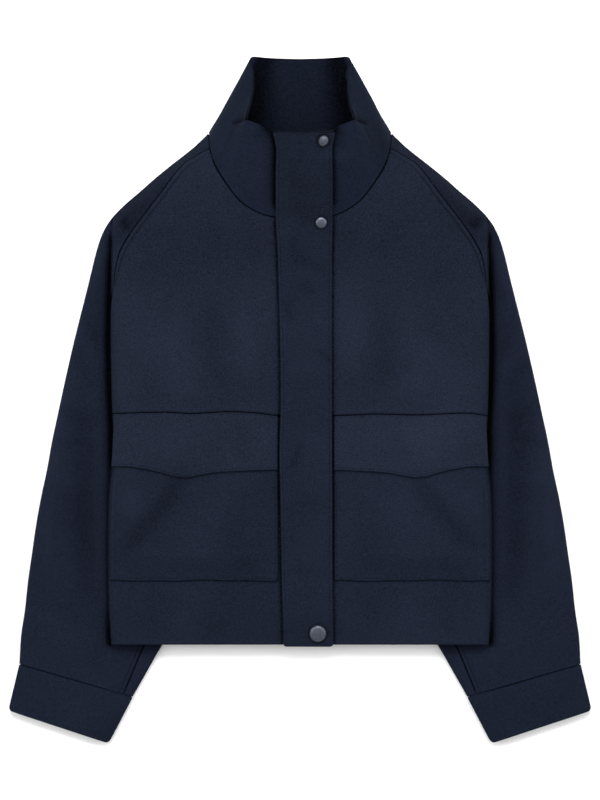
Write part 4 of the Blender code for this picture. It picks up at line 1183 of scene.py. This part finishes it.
placket = {
    "inset": 0.5,
    "corner": 4.5,
    "flat": (0.077, 0.624),
    "area": 0.0408,
    "folds": (
        (-6, 196, -2, 160, 8, -0.55, 2), (-2, 168, 30, 152, 7, -0.65, -2), (4, 140, 16, 126, 7, -0.5, 1),
        (-14, 122, -12, 94, 6, -0.6, 1), (22, 112, 26, 86, 8, 0.35, 1), (20, 60, 38, 46, 4, -0.8, 0),
        (-16, 34, 16, 44, 8, 0.3, 2), (-16, -86, 2, -52, 5, -0.85, 2), (8, -44, 32, -62, 8, 0.4, -2),
        (-18, -132, 24, -122, 9, -0.35, 2), (-10, -200, 30, -214, 9, -0.35, -2), (-16, 266, 18, 252, 9, -0.5, 2),
        (-2, 236, 10, 206, 9, -0.45, 1), (10, 284, 14, 304, 7, 0.3, 1),
    ),
}


def cornerDrop(x, y):
    # The collar's front gives way beside the top snap.
    across = x - 0.3 * (y - 309)
    return 7.5 * smooth((across - 16) / 21) * smooth((y - 284) / 20) * smooth((62 - x) / 14)


def centreHeight(x, y):
    share = (y - 216) / (318.6 - 216)
    rising = 42 + 28 * share + collar["swell"] * np.sin(math.pi * np.clip(share, 0, 1))
    return np.where(y < 216, frontHeight(np.abs(x), y), rising) - cornerDrop(x, y) - hemDrop(x, y)


def makePlacket():
    start, end = placketEdges["y"][0], placketEdges["y"][-1]
    across = (0, 1.5, 2.7, 3.9, 5.4, 7.4)
    rows = start + spread(end - start, 2.3, across, across)[0]
    right = placketRight(rows) + placket["inset"]
    left = placketLeft(rows)
    corner = placket["corner"] * (1 - rounded(rows - start, placket["corner"]))
    right, left = right + corner, left - corner
    along = spread(left - right, 2.2, across, across)
    x = right[:, None] + along
    y = np.repeat(rows[:, None], x.shape[1], axis=1)
    body = centreHeight(x, y)
    # ease the bend where the placket climbs from the chest onto the collar
    body = (body + centreHeight(x, y - 5) + centreHeight(x, y + 5)) / 3
    field = drape(x, y) * smooth((226 - y) / 20)
    z = np.maximum(body, centreHeight(x, y)) + cloth["rest"] + cloth["placket"] + field + foldHeight(x, y, placket["folds"])
    toSide = np.minimum(along, (left - right)[:, None] - along)
    toEnd = np.minimum(rows - start, end - rows)[:, None] + 0 * x
    nearest = np.minimum(toSide, toEnd)
    z = z - seamDrop(nearest, 1.5, 2.6) - stitchDip(nearest, 3.9, 0.30)
    z += 0.10 * np.sin(y / 1.9) * np.exp(-((toSide / 5) ** 2))
    # Painted highlight on the rolled edges; painted shade at the edges, along the top, round each snap, along the
    # topstitching and in the folds, and darker towards the top.
    shade = 0.10 * np.exp(-(((nearest - 2.0) / 1.0) ** 2)) - 0.55 * np.exp(-((nearest / 1.0) ** 2))
    shade = shade + 0.05 - 0.11 * smooth((y - 40) / 140)
    shade = shade + 0.09 * smooth(1 - np.abs(along - 3.4) / 3.4) - 0.55 * np.exp(-(((end - y) / 1.6) ** 2))
    for _, snapX, snapY, radius in snaps["places"]:
        beyond = np.maximum(np.hypot(x - snapX, y - snapY) - radius, 0)
        shade = shade - 0.45 * np.exp(-((beyond / 1.5) ** 2))
    shade = shade - 0.18 * np.exp(-(((nearest - 3.9) / 0.7) ** 2)) + 0.30 * foldHeight(x, y, placket["folds"]) + paintedFoldShade(x, y)
    points = np.stack([x, y, z], axis=2)
    piece = makeCloth("placket", points, cloth["placket"], wools["placket"], planUv(x, y, z), shade)


snaps = {
    "places": (("snap_top", 27.6, 309.1, 7.2), ("snap_neck", 25.4, 211.9, 7.2), ("snap_hem", 21.5, -279.6, 11.0)),
    "profile": ((0, 2.7), (0.3, 2.62), (0.55, 2.36), (0.74, 1.9), (0.84, 1.42), (0.885, 1.2), (0.93, 1.28),
                (0.975, 1.12), (1.0, 0.7), (0.985, 0.3), (0.92, 0.0)),
}


def snapMaterial():
    material, tree, shader = nodesFor("gunmetal")
    link = tree.links.new
    space = tree.nodes.new("ShaderNodeTexCoord").outputs["Object"]
    fine = noise(tree, space, 1500.0, 4.0, 0.6)
    blotch = noise(tree, space, 260.0, 3.0)
    ramp = node(tree, "ShaderNodeValToRGB")
    ramp.color_ramp.elements[0].color = (0.045, 0.050, 0.066, 1)
    ramp.color_ramp.elements[1].color = (0.125, 0.138, 0.178, 1)
    link(blotch, ramp.inputs["Fac"])
    # A painted shade ring darkens the cap towards its lower rim.
    rim = node(tree, "ShaderNodeAttribute", attribute_name="rimShade").outputs["Fac"]
    paintedRimShade = sums(tree, "SUBTRACT", 1.0, sums(tree, "MULTIPLY", rim, 0.82))
    dimmed = node(tree, "ShaderNodeVectorMath", operation="SCALE")
    link(ramp.outputs["Color"], dimmed.inputs[0])
    link(paintedRimShade, dimmed.inputs["Scale"])
    link(dimmed.outputs[0], shader.inputs["Base Color"])
    rough = node(tree, "ShaderNodeMapRange")
    rough.inputs["To Min"].default_value = 0.30
    rough.inputs["To Max"].default_value = 0.50
    link(fine, rough.inputs["Value"])
    link(rough.outputs[0], shader.inputs["Roughness"])
    bump = node(tree, "ShaderNodeBump", Strength=0.25, Distance=0.00005)
    link(fine, bump.inputs["Height"])
    link(bump.outputs[0], shader.inputs["Normal"])
    shader.inputs["Metallic"].default_value = 1.0
    return material


def makeSnaps():
    metal = snapMaterial()
    for name, x, y, radius in snaps["places"]:
        shape = bmesh.new()
        ring = [shape.verts.new((share * radius * mm, 0, z * mm * (radius / 8.5))) for share, z in snaps["profile"]]
        edges = [shape.edges.new(pair) for pair in zip(ring, ring[1:])]
        bmesh.ops.spin(
            shape, geom=ring + edges, cent=(0, 0, 0), axis=(0, 0, 1), angle=2 * math.pi,
            steps=48, use_merge=True,
        )
        bmesh.ops.remove_doubles(shape, verts=shape.verts[:], dist=0.00001)
        rim = [edge for edge in shape.edges if edge.is_boundary]
        bmesh.ops.contextual_create(shape, geom=rim)
        bmesh.ops.recalc_face_normals(shape, faces=shape.faces[:])
        seat, tilt, _, _ = surfaces["placket"].ray_cast(Vector((x * mm, y * mm, 0.2)), Vector((0, 0, -1)))
        if tilt.z < 0:
            tilt = -tilt
        turn = Vector((0, 0, 1)).rotation_difference(tilt).to_matrix().to_4x4()
        bmesh.ops.transform(shape, matrix=Matrix.Translation(seat + tilt * 0.0001) @ turn, verts=shape.verts[:])
        place = seat + tilt * 0.0001
        # How far into the painted shade ring at the rim each point of the cap lies.
        rimmed = []
        for vert in shape.verts:
            off = vert.co - place
            away = (off - tilt * off.dot(tilt)).length / (radius * mm)
            rimmed.append(float(smooth((away - 0.80) / 0.12)))
        mesh = bpy.data.meshes.new(name)
        shape.to_mesh(mesh)
        shape.free()
        tone = mesh.attributes.new("rimShade", "FLOAT", "POINT")
        tone.data.foreach_set("value", rimmed)
        mesh.shade_smooth()
        mesh.materials.append(metal)
        cap = bpy.data.objects.new(name + "_cap", mesh)
        bpy.context.collection.objects.link(cap)
        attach(cap, "root")
        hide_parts(name)


# Sewing thread

thread = {"pitch": 3.3, "long": 2.5, "wide": 0.62, "tall": 0.5, "sunk": 0.06}


def threadMaterial():
    material, tree, shader = nodesFor("navy thread")
    space = tree.nodes.new("ShaderNodeTexCoord").outputs["Object"]
    twist = noise(tree, space, 1800.0, 2.0)
    ramp = node(tree, "ShaderNodeValToRGB")
    ramp.color_ramp.elements[0].color = (0.0020, 0.0028, 0.0060, 1)
    ramp.color_ramp.elements[1].color = (0.0050, 0.0070, 0.0140, 1)
    tree.links.new(twist, ramp.inputs["Fac"])
    tree.links.new(ramp.outputs["Color"], shader.inputs["Base Color"])
    shader.inputs["Roughness"].default_value = 0.8
    shader.inputs["Specular IOR Level"].default_value = 0.03
    return material


def alongLine(line, pitch):
    line = np.array(line, float)
    run = np.linalg.norm(np.diff(line, axis=0), axis=1)
    total = np.concatenate([[0], np.cumsum(run)])
    at = np.arange(pitch / 2, total[-1], pitch)
    ahead, behind = np.minimum(at + 0.5, total[-1]), np.maximum(at - 0.5, 0)

    def point(where):
        return np.stack([np.interp(where, total, line[:, k]) for k in range(line.shape[1])], axis=1)

    return point(at), point(ahead) - point(behind)


def shifted(line, inset):
    # The same line, moved to its left by the inset.
    line = np.array(line, float)
    run = np.gradient(line, axis=0)
    run /= np.linalg.norm(run, axis=1, keepdims=True)
    return line + np.stack([-run[:, 1], run[:, 0]], axis=1) * inset


def makeStitches(name, carrier, lines, material):
    shape = bmesh.new()
    size = Matrix.Diagonal((thread["long"] / 2 * mm, thread["wide"] / 2 * mm, thread["tall"] / 2 * mm, 1))
    count = 0
    for line in lines:
        points, runs = alongLine(line, thread["pitch"])
        for point, run in zip(points, runs):
            if len(point) == 2:
                seat, normal, _, _ = surfaces[carrier].ray_cast(
                    Vector((point[0] * mm, point[1] * mm, 0.2)), Vector((0, 0, -1)))
                run = (run[0], run[1], 0.0)
            else:
                seat, normal, _, _ = surfaces[carrier].find_nearest(Vector(point) * mm)
            if seat is None:
                continue
            if len(point) == 2 and normal.z < 0:
                normal = -normal
            ahead = Vector(run) - normal * Vector(run).dot(normal)
            ahead.normalize()
            aside = normal.cross(ahead)
            frameOf = Matrix((ahead, aside, normal)).transposed().to_4x4()
            place = Matrix.Translation(seat + normal * (thread["tall"] / 2 - thread["sunk"] * 3) * mm)
            bmesh.ops.create_icosphere(shape, subdivisions=1, radius=1, matrix=place @ frameOf @ size)
            count += 1
    mesh = bpy.data.meshes.new(name)
    shape.to_mesh(mesh)
    shape.free()
    mesh.shade_smooth()
    mesh.materials.append(material)
    piece = bpy.data.objects.new(name, mesh)
    bpy.context.collection.objects.link(piece)
    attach(piece, "root")
    print(f"  {name}: {count} stitches")
    return piece


makeBack()
print("back laid")
for side, sign in sides:
    makeSleeveUnder(side, sign)
    makeSleeveTop(side, sign)
    makeCuff(side, sign)
print("sleeves and cuffs laid")
for side, sign in sides:
    makeFrontUpper(side, sign)
    makeFrontLower(side, sign)
    makePocket(side, sign)
    makeFlap(side, sign)
print("fronts, pockets and flaps laid")
makeCollar()
makePlacket()
makeSnaps()
print("collar, placket and snaps made")


sewn = threadMaterial()
for side, sign in sides:
    facing = np.array([sign, 1.0])
    raglan = shifted(armholeLine, -stitchInset(armholeLine[:, 1:2]))
    raglan = raglan[(raglan[:, 1] > 142) & (raglan[:, 0] > 103)]
    makeStitches("stitches_raglan_" + side, "front_upper_" + side, [raglan * facing], sewn)
    inner, reach = pocketColumns(side, np.array([-84.0]))
    flapA = np.linspace(inner + 3, inner + reach[0] - 3, 60)
    flapLine = np.column_stack([flapA, flapEdge(flapA) + 3.0])
    makeStitches("stitches_flap_" + side, "flap_" + side, [flapLine * facing], sewn)
    rows = np.linspace(-98, lower["pocketBottom"] + 3, 40)
    inner, reach = pocketColumns(side, rows)
    outer = np.column_stack([inner + reach - 3 - 2.0, rows])
    bottom = np.array([(inner + reach[-1] - 5.0, rows[-1]), (inner + 3, rows[-1]), (inner + 3, -98)])
    makeStitches("stitches_pocket_" + side, "pocket_" + side, [np.vstack([outer, bottom]) * facing], sewn)
    run = np.linspace(19.4, 25.8, 60)
    under = np.column_stack([seamA(run), seamY(run)])
    makeStitches("stitches_sleeve_" + side, "sleeve_top_" + side, [shifted(under, 4.6) * facing], sewn)
rows = np.linspace(-291.5, 315.5, 200)
edges = [np.column_stack([placketRight(rows) + placket["inset"] + 3.9, rows]), np.column_stack([placketLeft(rows) - 3.9, rows])]
across = np.column_stack([np.linspace(edges[0][0, 0] + 3, edges[1][0, 0] - 3, 20), np.full(20, -292.1)])
makeStitches("stitches_placket", "placket", edges + [across], sewn)
print("sewn")


# Floor, light and camera

stage = {
    "wide": 9.0,
    "camera": 10.667,
    "lens": 400.0,
    "frame": (0.0, 0.0),
}


def makeFloor():
    shape = bmesh.new()
    bmesh.ops.create_grid(shape, x_segments=2, y_segments=2, size=stage["wide"] / 2)
    bmesh.ops.translate(shape, vec=(0, 0, -0.0004), verts=shape.verts[:])
    mesh = bpy.data.meshes.new("floor")
    shape.to_mesh(mesh)
    shape.free()
    material, tree, shader = nodesFor("white floor")
    space = tree.nodes.new("ShaderNodeTexCoord").outputs["Object"]
    grain = noise(tree, space, 3.0, 2.0)
    ramp = node(tree, "ShaderNodeValToRGB")
    ramp.color_ramp.elements[0].color = (0.90, 0.90, 0.90, 1)
    ramp.color_ramp.elements[1].color = (0.93, 0.93, 0.93, 1)
    tree.links.new(grain, ramp.inputs["Fac"])
    tree.links.new(ramp.outputs["Color"], shader.inputs["Base Color"])
    shader.inputs["Roughness"].default_value = 0.85
    shader.inputs["Specular IOR Level"].default_value = 0.1
    mesh.materials.append(material)
    floor = bpy.data.objects.new("floor", mesh)
    bpy.context.collection.objects.link(floor)


def makeLight(name, place, target, size, power, colour=(1, 1, 1)):
    data = bpy.data.lights.new(name, "AREA")
    data.shape = "RECTANGLE"
    data.size, data.size_y = size
    data.energy = power
    data.color = colour
    lamp = bpy.data.objects.new(name, data)
    bpy.context.collection.objects.link(lamp)
    lamp.location = place
    lamp.rotation_mode = "QUATERNION"
    lamp.rotation_quaternion = (Vector(place) - Vector(target)).to_track_quat("Z", "Y")
    lamp.visible_camera = False


def makeCamera():
    data = bpy.data.cameras.new("camera")
    data.lens = stage["lens"]
    data.sensor_width = 36.0
    data.clip_end = 100.0
    camera = bpy.data.objects.new("camera", data)
    bpy.context.collection.objects.link(camera)
    camera.location = (*stage["frame"], stage["camera"])
    bpy.context.scene.camera = camera


makeFloor()
makeLight("top softbox", (0.0, 1.9, 2.4), (0, 0.05, 0), (2.8, 1.5), 108)
makeLight("left softbox", (-2.3, 0.3, 1.6), (0, 0, 0), (1.2, 2.2), 30)
makeLight("right softbox", (2.3, 0.3, 1.6), (0, 0, 0), (1.2, 2.2), 25)
makeCamera()
world = bpy.data.worlds.new("studio")
world.use_nodes = True
world.node_tree.nodes["Background"].inputs["Color"].default_value = (1, 1, 1, 1)
world.node_tree.nodes["Background"].inputs["Strength"].default_value = 0.80
bpy.context.scene.world = world
bpy.context.scene.view_settings.view_transform = "Standard"
bpy.context.scene.view_settings.look = "None"
print("floor, light and camera set")
